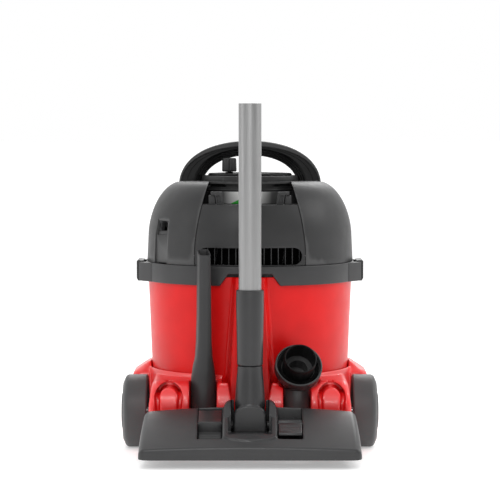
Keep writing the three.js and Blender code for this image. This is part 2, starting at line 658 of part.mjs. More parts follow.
// The handle and its underside stand about the handle's pivot, and lean towards the front.
function carryHandle() {
  const { half, crown, depth, band, pivotZ, lean, pin } = HANDLE;
  const shell = prismY(arch(half, crown, half - 15, crown - band), -depth / 2, depth / 2, { bevel: 2, steps: 8 });
  const pivot = rodX(pin, half - 12, half + 4.5, 0, 0);
  const under = crown - band - GAP;
  const strip = prismY(arch(half - 15.4, under, half - 18.5, under - 2.2), -13, 13, { steps: 8 });
  const insert = common(strip, box(-half, half, -20, 20, 18, crown));
  const handle = group(
    part("carry_handle", join(tapered(shell), ...onBothSides(pivot)), GRAPHITE),
    part("handle_insert", tapered(insert), BLACK),
  );
  handle.rotation.x = rad(-lean);
  return at(handle, 0, 0, pivotZ);
}

// ---- Motor and cable winder ---------------------------------------------------------------------------------
function motorCradle() {
  const floor = MOTOR.low - 6;
  return turned([
    [34, floor], [79, floor], [79, 252.6], [127, 252.6], [127, 256.8], [75.5, 256.8], [75.5, floor + 3.5],
    [34, floor + 3.5], [34, floor],
  ], FINE);
}

const motorSeal = () => ring(36, 66, MOTOR.low - 2, MOTOR.low - GAP, FINE);

function motorCan() {
  const { top, r, fanTop } = MOTOR;
  const low = fanTop + 1;
  return turned([
    [9, low], [r, low], [r, top - 12], [26, top - 4], [26, top], [9, top], [9, top - 6], [16, top - 14],
    [r - 14, top - 16], [r - 14, low + 4], [9, low + 4], [9, low],
  ], FINE);
}

function fanCover() {
  const { low, fan, fanTop } = MOTOR;
  return turned([
    [32, low], [fan, low], [fan, fanTop], [11, fanTop], [11, fanTop - 3], [fan - 3, fanTop - 3], [fan - 3, low + 3],
    [32, low + 3], [32, low],
  ], FINE);
}

function rotor() {
  const { low, top, shaft } = MOTOR;
  return join(rod(shaft, low + 8, top + 3), rod(24, low + 52, top - 26), rod(15, top - 22, top - 17));
}

// Fan: two plates with slanted blades between them, pressed on the shaft.
function fanImpeller() {
  const low = MOTOR.low + 10;
  const bore = MOTOR.shaft + GAP;
  const blade = box(24, 59, -1, 1, low + 1, low + 21).rotateZ(rad(12));
  const blades = Array.from({ length: 6 }, (_, i) => blade.clone().rotateZ(rad(60 * i)));
  return join(
    ring(bore, 60, low + 20, low + 22, FINE),
    ring(30, 60, low, low + 2, FINE),
    ring(bore, 12, low + 6, low + 22, SMALL),
    ...blades,
  );
}

function cableDrum() {
  const { low, high, flange, hub } = DRUM;
  return turned([
    [8, low], [flange, low], [flange, low + 2.5], [hub, low + 2.5], [hub, high - 2.5], [flange, high - 2.5],
    [flange, high], [8, high], [8, low],
  ], FINE);
}

// The wound cable: three bulging layers of turns between the drum's flanges.
function mainsCable() {
  const low = DRUM.low + 3;
  const layer = (DRUM.high - DRUM.low - 6) / 3;
  const inner = DRUM.hub + GAP;
  const [r, bulge] = [52, 3.4];
  const outer = [0, 1, 2].flatMap((i) => [[r, low + i * layer], [r + bulge, low + (i + 0.5) * layer]]);
  const high = low + 3 * layer;
  return turned([[inner, low], ...outer, [r, high], [inner, high], [inner, low]], FINE);
}

// Crank disc on top of the drum, with the knob's post.
function winderDisc() {
  const { r, low, top } = DISC;
  const plate = turned([
    [0, DRUM.high + GAP], [20, DRUM.high + GAP], [20, low], [r, low], [r, top - 1], [r - 1.4, top], [r - 5, top],
    [r - 6, top - 1.6], [0, top - 1.6],
  ]);
  const post = join(rod(6, top - 3, KNOB.low - GAP), rod(KNOB.post, top - 3, KNOB.top - 5));
  return join(plate, moved(post, KNOB.x, 0, 0));
}

// Fluted knob about its own axis.
function winderKnob() {
  const { r, low, top, post } = KNOB;
  const flutes = 8;
  const grip = turned([[0, low], [r, low], [r, top - 1.5], [r - 1.5, top], [0, top]], 16);
  const groove = moved(rod(1.6, low + 4, top + 1, 6), r + 0.4, 0, 0);
  const grooves = Array.from({ length: flutes }, (_, i) => groove.clone().rotateZ((2 * Math.PI * i) / flutes));
  return cut(grip, rod(post + 0.5, low - 1, top - 4.5), ...grooves);
}

const contactPlate = () => ring(6, 52, 334, 338, FINE);

// ---- Latches ------------------------------------------------------------------------------------------------
// Right-hand latch: an outer plate that turns on a pin, with a claw below the tub's catch.
function latch() {
  const { outer, half, low, top, pinX, pinZ, pinR } = LATCH;
  const plateX = outer - 5.4;
  const claw = CATCH.x + 0.7;
  const profile = outline([
    [outer, low + 4], [outer, top - 2], [outer - 1.8, top], [pinX - 2.4, top - 1], [pinX - 2.4, pinZ - 3],
    [plateX - 0.4, pinZ - 6], [plateX - 0.4, 247], [claw, 245.6], [claw, 242], [plateX, low], [outer - 2.4, low],
  ]);
  const beside = (y0, y1) => box(150, plateX - 0.4, y0, y1, 230, 252);
  return cut(
    prismY(profile, -half, half),
    rodY(pinR + 0.3, -40, 40, pinX, pinZ),
    beside(14, 40),
    beside(-40, -14),
  );
}

const latchPin = () => rodY(LATCH.pinR, -33, 33, LATCH.pinX, LATCH.pinZ);

function latches() {
  const sides = [["left", Math.PI], ["right", 0]].map(([label, turn]) => {
    const side = group(
      part("latch_" + label, latch(), CHARCOAL),
      part("latch_pin_" + label, latchPin(), STEEL),
    );
    side.rotation.z = turn;
    return side;
  });
  return group(...sides);
}

function powerHead() {
  const port = group(part("cable_port", cablePort(), BLACK));
  port.rotation.z = rad(PORT.azimuth);
  const power = group(
    part("switch_housing", switchHousing(), BLACK),
    part("switch_rocker", switchRocker(), RED),
  );
  return group(
    part("head_ring", headRing(), CHARCOAL),
    part("head_dome", headDome(), GRAPHITE),
    part("rear_panel", rearPanel(), GRAPHITE),
    part("exhaust_grille", exhaustGrille(), BLACK),
    part("exhaust_foam", exhaustFoam(), BLACK),
    part("top_cap", topCap(), GRAPHITE),
    part("label_plate", labelPlate(), LABEL),
    part("motor_cradle", motorCradle(), GRAPHITE),
    part("motor_seal", motorSeal(), RUBBER),
    part("motor_can", motorCan(), STEEL),
    part("fan_cover", fanCover(), STEEL),
    part("rotor_shaft", rotor(), COPPER),
    part("fan_impeller", fanImpeller(), STEEL),
    part("cable_drum", cableDrum(), GRAPHITE),
    part("mains_cable", mainsCable(), RUBBER),
    part("contact_plate", contactPlate(), BLACK),
    part("winder_disc", winderDisc(), BLACK),
    at(part("winder_knob", winderKnob(), GRAPHITE), KNOB.x, 0, 0),
    at(power, 0, SWITCH.y, SWITCH.z),
    port,
    carryHandle(),
    latches(),
  );
}

// ---- Docked floor tool and tube -----------------------------------------------------------------------------
const wandTube = () => ring(WAND.tube - WAND.wall, WAND.tube, WAND.low, WAND.top, FINE);

function toolSocket() {
  const { r, top, low } = CUFF;
  const bore = WAND.tube + GAP;
  return turned([
    [13, low + 3], [r - 1.2, low], [r, low + 4], [r, top - 1], [r - 1, top], [bore, top], [bore, WAND.low - 1],
    [13, WAND.low - 2], [13, low + 3],
  ], FINE);
}

// Elbow: a flared pipe above an arch-shaped pivot block, with the docking tongue on its back.
function toolElbow() {
  const { pivotY, pivotZ } = TOOL;
  const top = CUFF.low - GAP;
  const pipe = turned([[0, 56], [20, 56], [21.4, 84], [20.6, 96], [18.2, 110], [17.8, top], [0, top]], FINE);
  const half = 21.6;
  const front = new THREE.Shape();
  front.moveTo(-half, 43);
  front.lineTo(half, 43);
  front.lineTo(half, 64);
  front.absarc(0, 64, half, 0, Math.PI, false);
  const { low, high } = TONGUE;
  const body = join(
    pipe,
    prismY(front, -23.5, 12),
    rodX(20, -half, half, pivotY, pivotZ, FINE),
    rodX(6, -27.5, 27.5, pivotY, pivotZ),
    box(-4.6, 4.6, 14, 36, low, high),
    box(-9.4, 9.4, 30.4, 34.6, low, high),
  );
  return cut(body, rod(12.5, 60, 200), rodX(14, -10, 10, pivotY, pivotZ), box(-9, 9, -18, 2, 20, 56));
}

// Side profile, in (y, z), of the floor tool's cover; inset moves it inwards.
function toolProfile(inset) {
  const floor = TOOL.low + TOOL.sole + GAP;
  const front = TOOL.front + inset;
  const rear = TOOL.rear - inset;
  const shape = new THREE.Shape();
  shape.moveTo(front, floor);
  shape.lineTo(front, 28 - inset * 0.6);
  shape.quadraticCurveTo(front + 1, 33 - inset, front + 9, 37.5 - inset);
  shape.bezierCurveTo(-68, 52 - inset, -34, 71.5 - inset, -4, 74.6 - inset);
  shape.quadraticCurveTo(rear, 75.5 - inset, rear, 67 - inset);
  shape.lineTo(rear, floor);
  return shape;
}

// Plan of the floor tool: wider in front, with rounded corners.
function toolPlan(inset) {
  const half = TOOL.half - inset;
  const rearHalf = TOOL.rearHalf - inset;
  const front = TOOL.front + inset;
  const rear = TOOL.rear - inset;
  const shape = new THREE.Shape();
  shape.moveTo(-half + 14, front);
  shape.lineTo(half - 14, front);
  shape.quadraticCurveTo(half, front, half, front + 16);
  shape.lineTo(rearHalf, rear - 12);
  shape.quadraticCurveTo(rearHalf, rear, rearHalf - 10, rear);
  shape.lineTo(-rearHalf + 10, rear);
  shape.quadraticCurveTo(-rearHalf, rear, -rearHalf, rear - 12);
  shape.lineTo(-half, front + 16);
  shape.quadraticCurveTo(-half, front, -half + 14, front);
  return shape;
}

// Cover of the floor tool: a shell with a raised bezel round the neck, a well for each pedal and wheel brackets.
function toolHousing() {
  const { half, low, pivotY, pivotZ } = TOOL;
  const profile = prismX(toolProfile(0), -half, half, { steps: 4 });
  const outer = common(profile, prismZ(toolPlan(0), low, 90, { steps: 3 }));
  const inner = common(
    moved(prismX(toolProfile(3), 3 - half, half - 3, { steps: 3 }), 0, 0, -1),
    prismZ(toolPlan(3.2), low - 5, 90, { steps: 2 }),
  );
  const hump = outline([
    [-84, 32.5], [-84, 41], [-68, 49], [-34, 66], [-26, 78], [-12, 86.5], [2, 87], [11, 80], [11, 32.5],
  ]);
  const ramp = outline([[-72, 40], [-72, 50], [-28, 72], [-28, 40]]);
  const neckRoom = join(box(-25, 25, -33, 15, 18, 95), box(-25, 25, -72, -28, 18, 48), prismX(ramp, -25, 25));
  const { inner: x0, outer: x1, front, rear } = PEDAL;
  const pedalFrame = common(outer, box(x0 - 2.4, x1 + 2.4, front - 2, rear + 2, 33, 95));
  const cheek = (x) => common(outer, box(x - 1.2, x + 1.2, ROLLER.y - 7, ROLLER.y + 7, 18, 90));
  const reach = ROLLER.half + 2;
  const body = join(
    cut(outer, inner),
    cut(prismX(hump, -36, 36), box(-31, 31, -78, 7, 10, 34)),
    ...[pedalFrame, cheek(ROLLER.x - reach), cheek(ROLLER.x + reach)].flatMap(onBothSides),
  );
  const pedalWell = box(x0, x1, front, rear, 18, 95);
  const pedalPin = rodX(PEDAL.pin + 0.3, x0 - 6, x1 + 6, PEDAL.pivotY, PEDAL.pivotZ);
  const rollerPin = rodX(ROLLER.pin + GAP, ROLLER.x - 12, ROLLER.x + 12, ROLLER.y, low + ROLLER.r);
  const pivotHole = rodX(6 + GAP, -28, 28, pivotY, pivotZ);
  return cut(body, neckRoom, pivotHole, ...[pedalWell, pedalPin, rollerPin].flatMap(onBothSides));
}

function toolSole() {
  const { low, sole } = TOOL;
  const through = (x, y0, y1) => box(-x, x, y0, y1, low - 1, low + sole + 1);
  const rollerWindow = box(ROLLER.x - 9, ROLLER.x + 9, -10, 12, low - 1, low + sole + 1);
  return cut(
    prismZ(toolPlan(0.5), low, low + sole, { steps: 3 }),
    through(118, -57, -34),
    through(139, -78, -70),
    through(139, -24, -16),
    ...onBothSides(rollerWindow),
  );
}

// Two bristle strips joined by cross bars, which rise and fall together under the cover.
function bristleCarriage() {
  const low = TOOL.low + 0.5;
  const bar = box(122, 134, -76.5, -17.5, low + 8.5, low + 12.5);
  return join(
    box(-137, 137, -76.5, -71.5, low, low + 11.5),
    box(-137, 137, -22.5, -17.5, low, low + 11.5),
    ...onBothSides(bar),
  );
}

// A foot pedal about its pivot: a rocker whose front arm droops with the cover's slope.
function pedal() {
  const { inner, outer, pin } = PEDAL;
  const half = (outer - inner) / 2 - 1.2;
  const profile = outline([
    [-31, -19], [-31, -15], [-5, 3.5], [5, 5.5], [31, 9.5], [31, 5.5], [5, 0], [0, -4], [-5, -3],
  ]);
  return join(prismX(profile, -half, half), rodX(pin, -half - 3, half + 3, 0, 0));
}

function toolWheel() {
  const { r, half, pin } = ROLLER;
  const rim = r - 0.8;
  const roller = turned([[0, -half], [rim, -half], [r, 1 - half], [r, half - 1], [rim, half], [0, half]], FINE);
  return alongX(join(roller, rod(pin, -half - 3, half + 3)));
}

function dockedTool() {
  const tool = group(
    part("wand_tube", wandTube(), TUBE_GREY),
    part("tool_socket", toolSocket(), CHARCOAL),
    part("tool_elbow", toolElbow(), CHARCOAL),
    part("floor_tool_housing", toolHousing(), CHARCOAL),
    part("floor_tool_sole", toolSole(), STEEL),
    part("bristle_carriage", bristleCarriage(), BLACK),
  );
  for (const [label, side] of [["left", -1], ["right", 1]]) {
    const foot = part("pedal_" + label, pedal(), CHARCOAL);
    foot.rotation.x = rad(-side * PEDAL.tilt);
    const roller = part("tool_wheel_" + label, toolWheel(), WHEEL_GREY);
    tool.add(
      at(foot, (side * (PEDAL.inner + PEDAL.outer)) / 2, PEDAL.pivotY, PEDAL.pivotZ),
      at(roller, side * ROLLER.x, ROLLER.y, TOOL.low + ROLLER.r),
    );
  }
  return at(tool, 0, WAND.y, 0);
}

// ---- Hand tools ---------------------------------------------------------------------------------------------
// Crevice tool about its socket's axis: a round foot that flattens upwards to an open, slanted tip.
function creviceTool() {
  const { r, low, tip } = CREVICE;
  const skin = (inset, z0, z1) => loft([
    squircle(r - inset, r - inset, z0, 2), squircle(r - inset - 0.4, r - inset - 0.4, 106, 2),
    squircle(12 - inset, 16.4 - inset, 140, 3, -5), squircle(10.6 - inset, 15.6 - inset, z1, 5, -7),
  ]);
  const slant = moved(box(-40, 40, -60, 60, 0, 60).rotateX(rad(14)), 0, 0, tip - 5);
  return cut(skin(0, low, tip + 8), skin(1.8, low - 2, tip + 12), slant);
}

// Dusting nozzle: an upright stem that bends into a wide cup.
function dustingNozzle() {
  const { r, low, cup } = NOZZLE;
  const bulb = turned([[0, -14], [12, -12], [20, -6], [30, 2], [cup, 12], [cup, 25], [0, 25]], FINE);
  const cavity = rod(cup - 2.2, 14, 27, FINE);
  const neck = loft([squircle(r, r, 107, 2), squircle(r - 3, r - 3, 116, 2)]);
  return cut(
    join(rod(r, low, 108, FINE), neck, alongCup(bulb)),
    alongCup(cavity),
    alongCup(rod(14, -6, 20)),
    rod(r - 2.4, low - 2, 98, FINE),
    rod(12, 90, 116),
  );
}

function handTools() {
  const crevice = part("crevice_tool", creviceTool(), CHARCOAL);
  crevice.rotation.z = rad(CREVICE.yaw);
  const cup = group(
    part("dusting_sleeve", ring(21, 23, 14.6, 45, FINE), GRAPHITE),
    part("dusting_bristles", ring(23.8, 30.2, 14.6, 21.5, FINE), BLACK),
  );
  cup.rotation.set(rad(90 - NOZZLE.elevation), 0, rad(NOZZLE.yaw), "ZXY");
  const nozzle = group(
    part("dusting_nozzle", dustingNozzle(), CHARCOAL),
    at(cup, 0, 0, NOZZLE.bend),
  );
  return group(at(crevice, CREVICE.x, CREVICE.y, 0), at(nozzle, NOZZLE.x, NOZZLE.y, 0));
}

// ---- Assembly -----------------------------------------------------------------------------------------------
const machine = group(
  part("chassis", chassis(), RED),
  runningGear(),
  container(),
  powerHead(),
  dockedTool(),
  handTools(),
);

export default at(machine, 0, AXIS_Y, 0);
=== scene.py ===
"""Looks for the wheeled tub vacuum cleaner: shells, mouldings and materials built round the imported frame.

Shapes are written in millimetres, with y counted from the tub's axis, and turned into metres in the row
frame when a piece is made. The larger pieces take their place and main sizes from their CAD nodes.
"""

import json
import math

import bmesh
import bpy
from mathutils import Matrix, Vector


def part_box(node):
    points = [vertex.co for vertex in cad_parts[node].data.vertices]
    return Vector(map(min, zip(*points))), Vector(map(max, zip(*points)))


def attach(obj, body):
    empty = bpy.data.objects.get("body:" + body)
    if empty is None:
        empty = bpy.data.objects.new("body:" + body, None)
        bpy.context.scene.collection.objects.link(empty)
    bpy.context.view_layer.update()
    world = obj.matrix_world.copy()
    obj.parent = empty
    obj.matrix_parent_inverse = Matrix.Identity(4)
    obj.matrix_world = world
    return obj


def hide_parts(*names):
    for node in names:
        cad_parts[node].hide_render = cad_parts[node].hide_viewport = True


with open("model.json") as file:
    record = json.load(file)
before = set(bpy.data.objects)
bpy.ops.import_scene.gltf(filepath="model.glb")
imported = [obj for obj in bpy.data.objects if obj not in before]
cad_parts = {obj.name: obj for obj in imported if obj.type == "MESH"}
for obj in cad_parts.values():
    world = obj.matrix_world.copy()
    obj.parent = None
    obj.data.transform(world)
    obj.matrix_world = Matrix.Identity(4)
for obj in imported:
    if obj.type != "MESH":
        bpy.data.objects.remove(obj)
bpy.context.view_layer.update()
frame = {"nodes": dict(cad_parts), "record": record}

MM = 0.001
AXIS_Y = sum(corner.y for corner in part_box("winder_disc")) / 2  # the tub's axis, in metres
ROUND = 160  # segments round the large shells
FINE = 96  # segments round the middling parts
SMALL = 40  # segments round the small parts


class Box:
    """A CAD node's box in millimetres, with y counted from the tub's axis."""

    def __init__(self, node):
        low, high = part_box(node)
        self.x0, self.y0, self.z0 = low.x / MM, (low.y - AXIS_Y) / MM, low.z / MM
        self.x1, self.y1, self.z1 = high.x / MM, (high.y - AXIS_Y) / MM, high.z / MM

    @property
    def x(self):
        return (self.x0 + self.x1) / 2

    @property
    def y(self):
        return (self.y0 + self.y1) / 2

    @property
    def z(self):
        return (self.z0 + self.z1) / 2


# ---- Outlines -------------------------------------------------------------------------------------
def arc(cx, cy, r, start, end, steps=8, ry=None):
    """Points on an arc of a circle, or of an ellipse when ry is given; angles in degrees."""
    angles = [math.radians(start + (end - start) * i / steps) for i in range(steps + 1)]
    return [(cx + r * math.cos(a), cy + (ry or r) * math.sin(a)) for a in angles]


def filleted(points, radius, closed=True, steps=4):
    """The same outline with its corners rounded; radius is one number, or one for each point."""
    radii = radius if isinstance(radius, (list, tuple)) else [radius] * len(points)
    made = []
    for i, (point, r) in enumerate(zip(points, radii)):
        if r <= 0 or (not closed and i in (0, len(points) - 1)):
            made.append(point)
            continue
        corner = Vector(point)
        before = Vector(points[i - 1]) - corner
        after = Vector(points[(i + 1) % len(points)]) - corner
        half = before.angle(after) / 2
        reach = min(r / math.tan(half), before.length * 0.48, after.length * 0.48)
        a, b = corner + before.normalized() * reach, corner + after.normalized() * reach
        for k in range(steps + 1):
            t = k / steps
            made.append(tuple(a * (1 - t) ** 2 + corner * 2 * t * (1 - t) + b * t * t))
    return made


def bezier(p0, p1, p2, p3, steps=16):
    """Points along a cubic curve."""
    points = []
    for k in range(steps + 1):
        t = k / steps
        weights = ((1 - t) ** 3, 3 * t * (1 - t) ** 2, 3 * t * t * (1 - t), t**3)
        points.append(tuple(sum(w * p[i] for w, p in zip(weights, (p0, p1, p2, p3))) for i in range(len(p0))))
    return points


def slot_outline(half, low, high, steps=12):
    """A slot with rounded ends, in (x, z)."""
    r = (high - low) / 2
    return arc(half - r, low + r, r, -90, 90, steps) + arc(r - half, low + r, r, 90, 270, steps)


# ---- Meshes ---------------------------------------------------------------------------------------
def shaped(bm):
    """A new object from a bmesh in millimetres round the tub's axis."""
    bmesh.ops.remove_doubles(bm, verts=bm.verts, dist=1e-4)
    bmesh.ops.recalc_face_normals(bm, faces=bm.faces)
    bm.transform(Matrix.Translation((0, AXIS_Y, 0)) @ Matrix.Scale(MM, 4))
    mesh = bpy.data.meshes.new("shape")
    bm.to_mesh(mesh)
    bm.free()
    obj = bpy.data.objects.new("shape", mesh)
    bpy.context.scene.collection.objects.link(obj)
    return obj


def loft(rings, closed=True, caps=True, looped=False):
    """A skin through rings of points; looped joins the last ring to the first."""
    bm = bmesh.new()
    rows = [[bm.verts.new(point) for point in ring] for ring in rings]
    pairs = list(zip(rows, rows[1:])) + ([(rows[-1], rows[0])] if looped else [])
    n = len(rows[0])
    for low, high in pairs:
        for i in range(n if closed else n - 1):
            j = (i + 1) % n
            bm.faces.new((low[i], low[j], high[j], high[i]))
    if caps and not looped:
        bm.faces.new(rows[0][::-1])
        bm.faces.new(rows[-1])
    return shaped(bm)


def turned(profile, segments=FINE, place=Matrix.Identity(4)):
    """A body turned about the Z axis from (radius, z) points that end on the axis or close on themselves."""
    bm = bmesh.new()
    loop = profile[0] != profile[-1] and profile[0][0] > 1e-6
    verts = [bm.verts.new((r, 0, z)) for r, z in profile]
    edges = [bm.edges.new(pair) for pair in zip(verts, verts[1:])]
    if loop:
        edges.append(bm.edges.new((verts[-1], verts[0])))
    bmesh.ops.spin(
        bm, geom=verts + edges, cent=(0, 0, 0), axis=(0, 0, 1), angle=2 * math.pi, steps=segments,
        use_merge=True
    )
    bm.transform(place)
    return shaped(bm)


def prism(outline, low, high, axis="Z"):
    """An outline pushed from low to high along an axis. Points are (x, y), (y, z) for X, (x, z) for Y."""
    order = {
        "Z": lambda a, b, t: (a, b, t),
        "X": lambda a, b, t: (t, a, b),
        "Y": lambda a, b, t: (a, t, b),
    }[axis]
    return loft([[order(a, b, t) for a, b in outline] for t in (low, high)])


def block(x0, x1, y0, y1, z0, z1, radius=0.0):
    """A box, with its upright edges rounded."""
    corners = [(x0, y0), (x1, y0), (x1, y1), (x0, y1)]
    return prism(filleted(corners, radius) if radius else corners, z0, z1)


def rod(r, z0, z1, segments=SMALL, place=Matrix.Identity(4), edge=0.0):
    profile = [(0, z0), (r, z0), (r, z1), (0, z1)]
    return turned(filleted(profile, edge, closed=False) if edge else profile, segments, place)


def tube(r0, r1, z0, z1, segments=FINE, place=Matrix.Identity(4), edge=0.4):
    return turned(filleted([(r0, z0), (r1, z0), (r1, z1), (r0, z1)], edge, steps=3), segments, place)


def moved_to(x, y, z):
    return Matrix.Translation((x, y, z))


ALONG_X = Matrix.Rotation(math.pi / 2, 4, "Y")
ALONG_Y = Matrix.Rotation(-math.pi / 2, 4, "X")


def rod_x(r, x0, x1, y, z, segments=SMALL):
    return rod(r, x0, x1, segments, moved_to(0, y, z) @ ALONG_X)


def rod_y(r, y0, y1, x, z, segments=SMALL):
    return rod(r, y0, y1, segments, moved_to(x, 0, z) @ ALONG_Y)


# ---- Modifiers ------------------------------------------------------------------------------------
def baked(obj):
    """Applies the object's modifiers to its mesh."""
    bpy.context.view_layer.update()
    evaluated = obj.evaluated_get(bpy.context.evaluated_depsgraph_get())
    obj.data = bpy.data.meshes.new_from_object(evaluated)
    obj.modifiers.clear()
    return obj


def combined(obj, others, operation):
    """Joins others to obj or cuts them out of it, and uses them up."""
    for other in others:
        modifier = obj.modifiers.new("combine", "BOOLEAN")
        modifier.operation = operation
        modifier.solver = "EXACT"
        modifier.object = other
    baked(obj)
    for other in others:
        bpy.data.objects.remove(other)
    return obj


def join(obj, *others):
    return combined(obj, others, "UNION")


def cut(obj, *others):
    return combined(obj, others, "DIFFERENCE")


def common(obj, *others):
    return combined(obj, others, "INTERSECT")


def mirrored(obj):
    """A copy of the object on the other side of the machine."""
    twin = obj.copy()
    twin.data = obj.data.copy()
    twin.data.transform(Matrix.Scale(-1, 4, (1, 0, 0)))
    twin.data.flip_normals()
    bpy.context.scene.collection.objects.link(twin)
    return twin


def both_sides(*objs):
    return [side for obj in objs for side in (obj, mirrored(obj))]


def bevelled(obj, width, segments=2, angle=38):
    """Rounds the edges that turn by more than an angle."""
    modifier = obj.modifiers.new("bevel", "BEVEL")
    modifier.width = width * MM
    modifier.segments = segments
    modifier.limit_method = "ANGLE"
    modifier.angle_limit = math.radians(angle)
    modifier.use_clamp_overlap = True
    return baked(obj)


def moulded(obj, voxel, smoothing=6, keep=None):
    """Fuses a shape into one skin with softly rounded edges, as a moulding has."""
    remesh = obj.modifiers.new("fuse", "REMESH")
    remesh.mode = "VOXEL"
    remesh.voxel_size = voxel * MM
    smooth = obj.modifiers.new("soften", "SMOOTH")
    smooth.factor = 0.5
    smooth.iterations = smoothing
    if keep:
        thin = obj.modifiers.new("thin", "DECIMATE")
        thin.ratio = keep
    return baked(obj)


# ---- Materials ------------------------------------------------------------------------------------
def shader(name, color, roughness, metallic=0.0, coat=0.0):
    """A new material and its principled node."""
    material = bpy.data.materials.new(name)
    material.use_nodes = True
    node = material.node_tree.nodes["Principled BSDF"]
    node.inputs["Base Color"].default_value = (*color, 1)
    node.inputs["Roughness"].default_value = roughness
    node.inputs["Metallic"].default_value = metallic
    node.inputs["Coat Weight"].default_value = coat
    node.inputs["Coat Roughness"].default_value = 0.12
    return material, node


def add_node(material, kind, **values):
    """A node with its inputs and settings filled in."""
    node = material.node_tree.nodes.new(kind)
    for key, value in values.items():
        if key in node.inputs:
            node.inputs[key].default_value = value
        else:
            setattr(node, key, value)
    return node


def link(material, source, target):
    material.node_tree.links.new(source, target)


def coordinates(material, stretch=(1, 1, 1)):
    """Object coordinates in metres, stretched along the axes."""
    source = add_node(material, "ShaderNodeTexCoord")
    mapping = add_node(material, "ShaderNodeMapping", Scale=stretch)
    link(material, source.outputs["Object"], mapping.inputs["Vector"])
    return mapping.outputs["Vector"]


def noise(material, scale, detail=2.0, stretch=(1, 1, 1)):
    node = add_node(material, "ShaderNodeTexNoise", Scale=scale, Detail=detail)
    link(material, coordinates(material, stretch), node.inputs["Vector"])
    return node.outputs["Fac"]


def remapped(material, value, low, high, start=0.35, end=0.65):
    """A noise value stretched over a range of numbers."""
    node = add_node(material, "ShaderNodeMapRange")
    node.inputs["From Min"].default_value = start
    node.inputs["From Max"].default_value = end
    node.inputs["To Min"].default_value = low
    node.inputs["To Max"].default_value = high
    link(material, value, node.inputs["Value"])
    return node.outputs["Result"]


def mixed(material, value, first, second):
    """A colour between two colours, chosen by a value; each colour is a number triple or a node's output."""
    node = add_node(material, "ShaderNodeMix", data_type="RGBA")
    ends = [s for s in node.inputs if s.type == "RGBA"]
    for socket, color in zip(ends, (first, second)):
        if isinstance(color, tuple):
            socket.default_value = (*color, 1)
        else:
            link(material, color, socket)
    link(material, value, node.inputs["Factor"])
    return next(s for s in node.outputs if s.type == "RGBA")


def shaded(color, factor):
    return tuple(min(1.0, c * factor) for c in color)


def plastic(name, color, roughness, grain=0.05, grain_scale=2200, coat=0.0, specular=0.5, wear_and_edge_light=0.6):
    """Moulded plastic: spark-eroded grain, faint mottling, scuffed roughness and paler edges, partly rubbed
    and partly a painted edge highlight.
    """
    material, node = shader(name, color, roughness, coat=coat)
    node.inputs["Specular IOR Level"].default_value = specular
    mottled = mixed(material, remapped(material, noise(material, 22), 0, 1), shaded(color, 0.95),
                    shaded(color, 1.05))
    # Paler convex edges, found by pointiness: partly rubbed, partly a painted highlight along the edges.
    edges = add_node(material, "ShaderNodeNewGeometry")
    worn_and_highlit = remapped(material, edges.outputs["Pointiness"], 0, wear_and_edge_light, 0.57, 0.72)
    link(material, mixed(material, worn_and_highlit, mottled, tuple(0.7 * c + 0.06 for c in color)),
         node.inputs["Base Color"])
    scuffs = noise(material, 60, 4)
    link(material, remapped(material, scuffs, roughness - 0.02, roughness + 0.03), node.inputs["Roughness"])
    bump = add_node(material, "ShaderNodeBump", Strength=grain, Distance=0.0004)
    link(material, noise(material, grain_scale, 1), bump.inputs["Height"])
    link(material, bump.outputs["Normal"], node.inputs["Normal"])
    return material


def metal(name, color, roughness, stretch):
    """Drawn or brushed metal: fine lines along one direction, in its roughness and in its surface."""
    material, node = shader(name, color, roughness, metallic=1.0)
    lines = noise(material, 900, 3, stretch)
    link(material, remapped(material, lines, roughness - 0.08, roughness + 0.1), node.inputs["Roughness"])
    tint = mixed(material, remapped(material, noise(material, 40, 3, stretch), 0, 1), shaded(color, 0.94),
                 color)
    link(material, tint, node.inputs["Base Color"])
    bump = add_node(material, "ShaderNodeBump", Strength=0.06, Distance=0.0002)
    link(material, lines, bump.inputs["Height"])
    link(material, bump.outputs["Normal"], node.inputs["Normal"])
    return material


def cloth(name, color):
    """Felted cloth or paper: fibres in colour and bump, with a soft sheen."""
    material, node = shader(name, color, 0.95)
    node.inputs["Sheen Weight"].default_value = 0.4
    fibres = noise(material, 700, 8)
    tint = mixed(material, remapped(material, fibres, 0, 1), shaded(color, 0.82), color)
    link(material, tint, node.inputs["Base Color"])
    bump = add_node(material, "ShaderNodeBump", Strength=0.5, Distance=0.0008)
    link(material, fibres, bump.inputs["Height"])
    link(material, bump.outputs["Normal"], node.inputs["Normal"])
    return material


def foam(name, color):
    """Open-cell foam: thin walls with painted shade in the pits between them."""
    material, node = shader(name, color, 1.0)
    node.inputs["Specular IOR Level"].default_value = 0.05
    cells = add_node(material, "ShaderNodeTexVoronoi", Scale=500)
    link(material, coordinates(material), cells.inputs["Vector"])
    # Painted shade: the pits between the cell walls are darkened to 0.3 of the colour.
    tint = mixed(material, remapped(material, cells.outputs["Distance"], 0, 1, 0.0, 0.6),
                 shaded(color, 0.3), color)
    link(material, tint, node.inputs["Base Color"])
    bump = add_node(material, "ShaderNodeBump", Strength=0.8, Distance=0.0015)
    link(material, cells.outputs["Distance"], bump.inputs["Height"])
    link(material, bump.outputs["Normal"], node.inputs["Normal"])
    return material


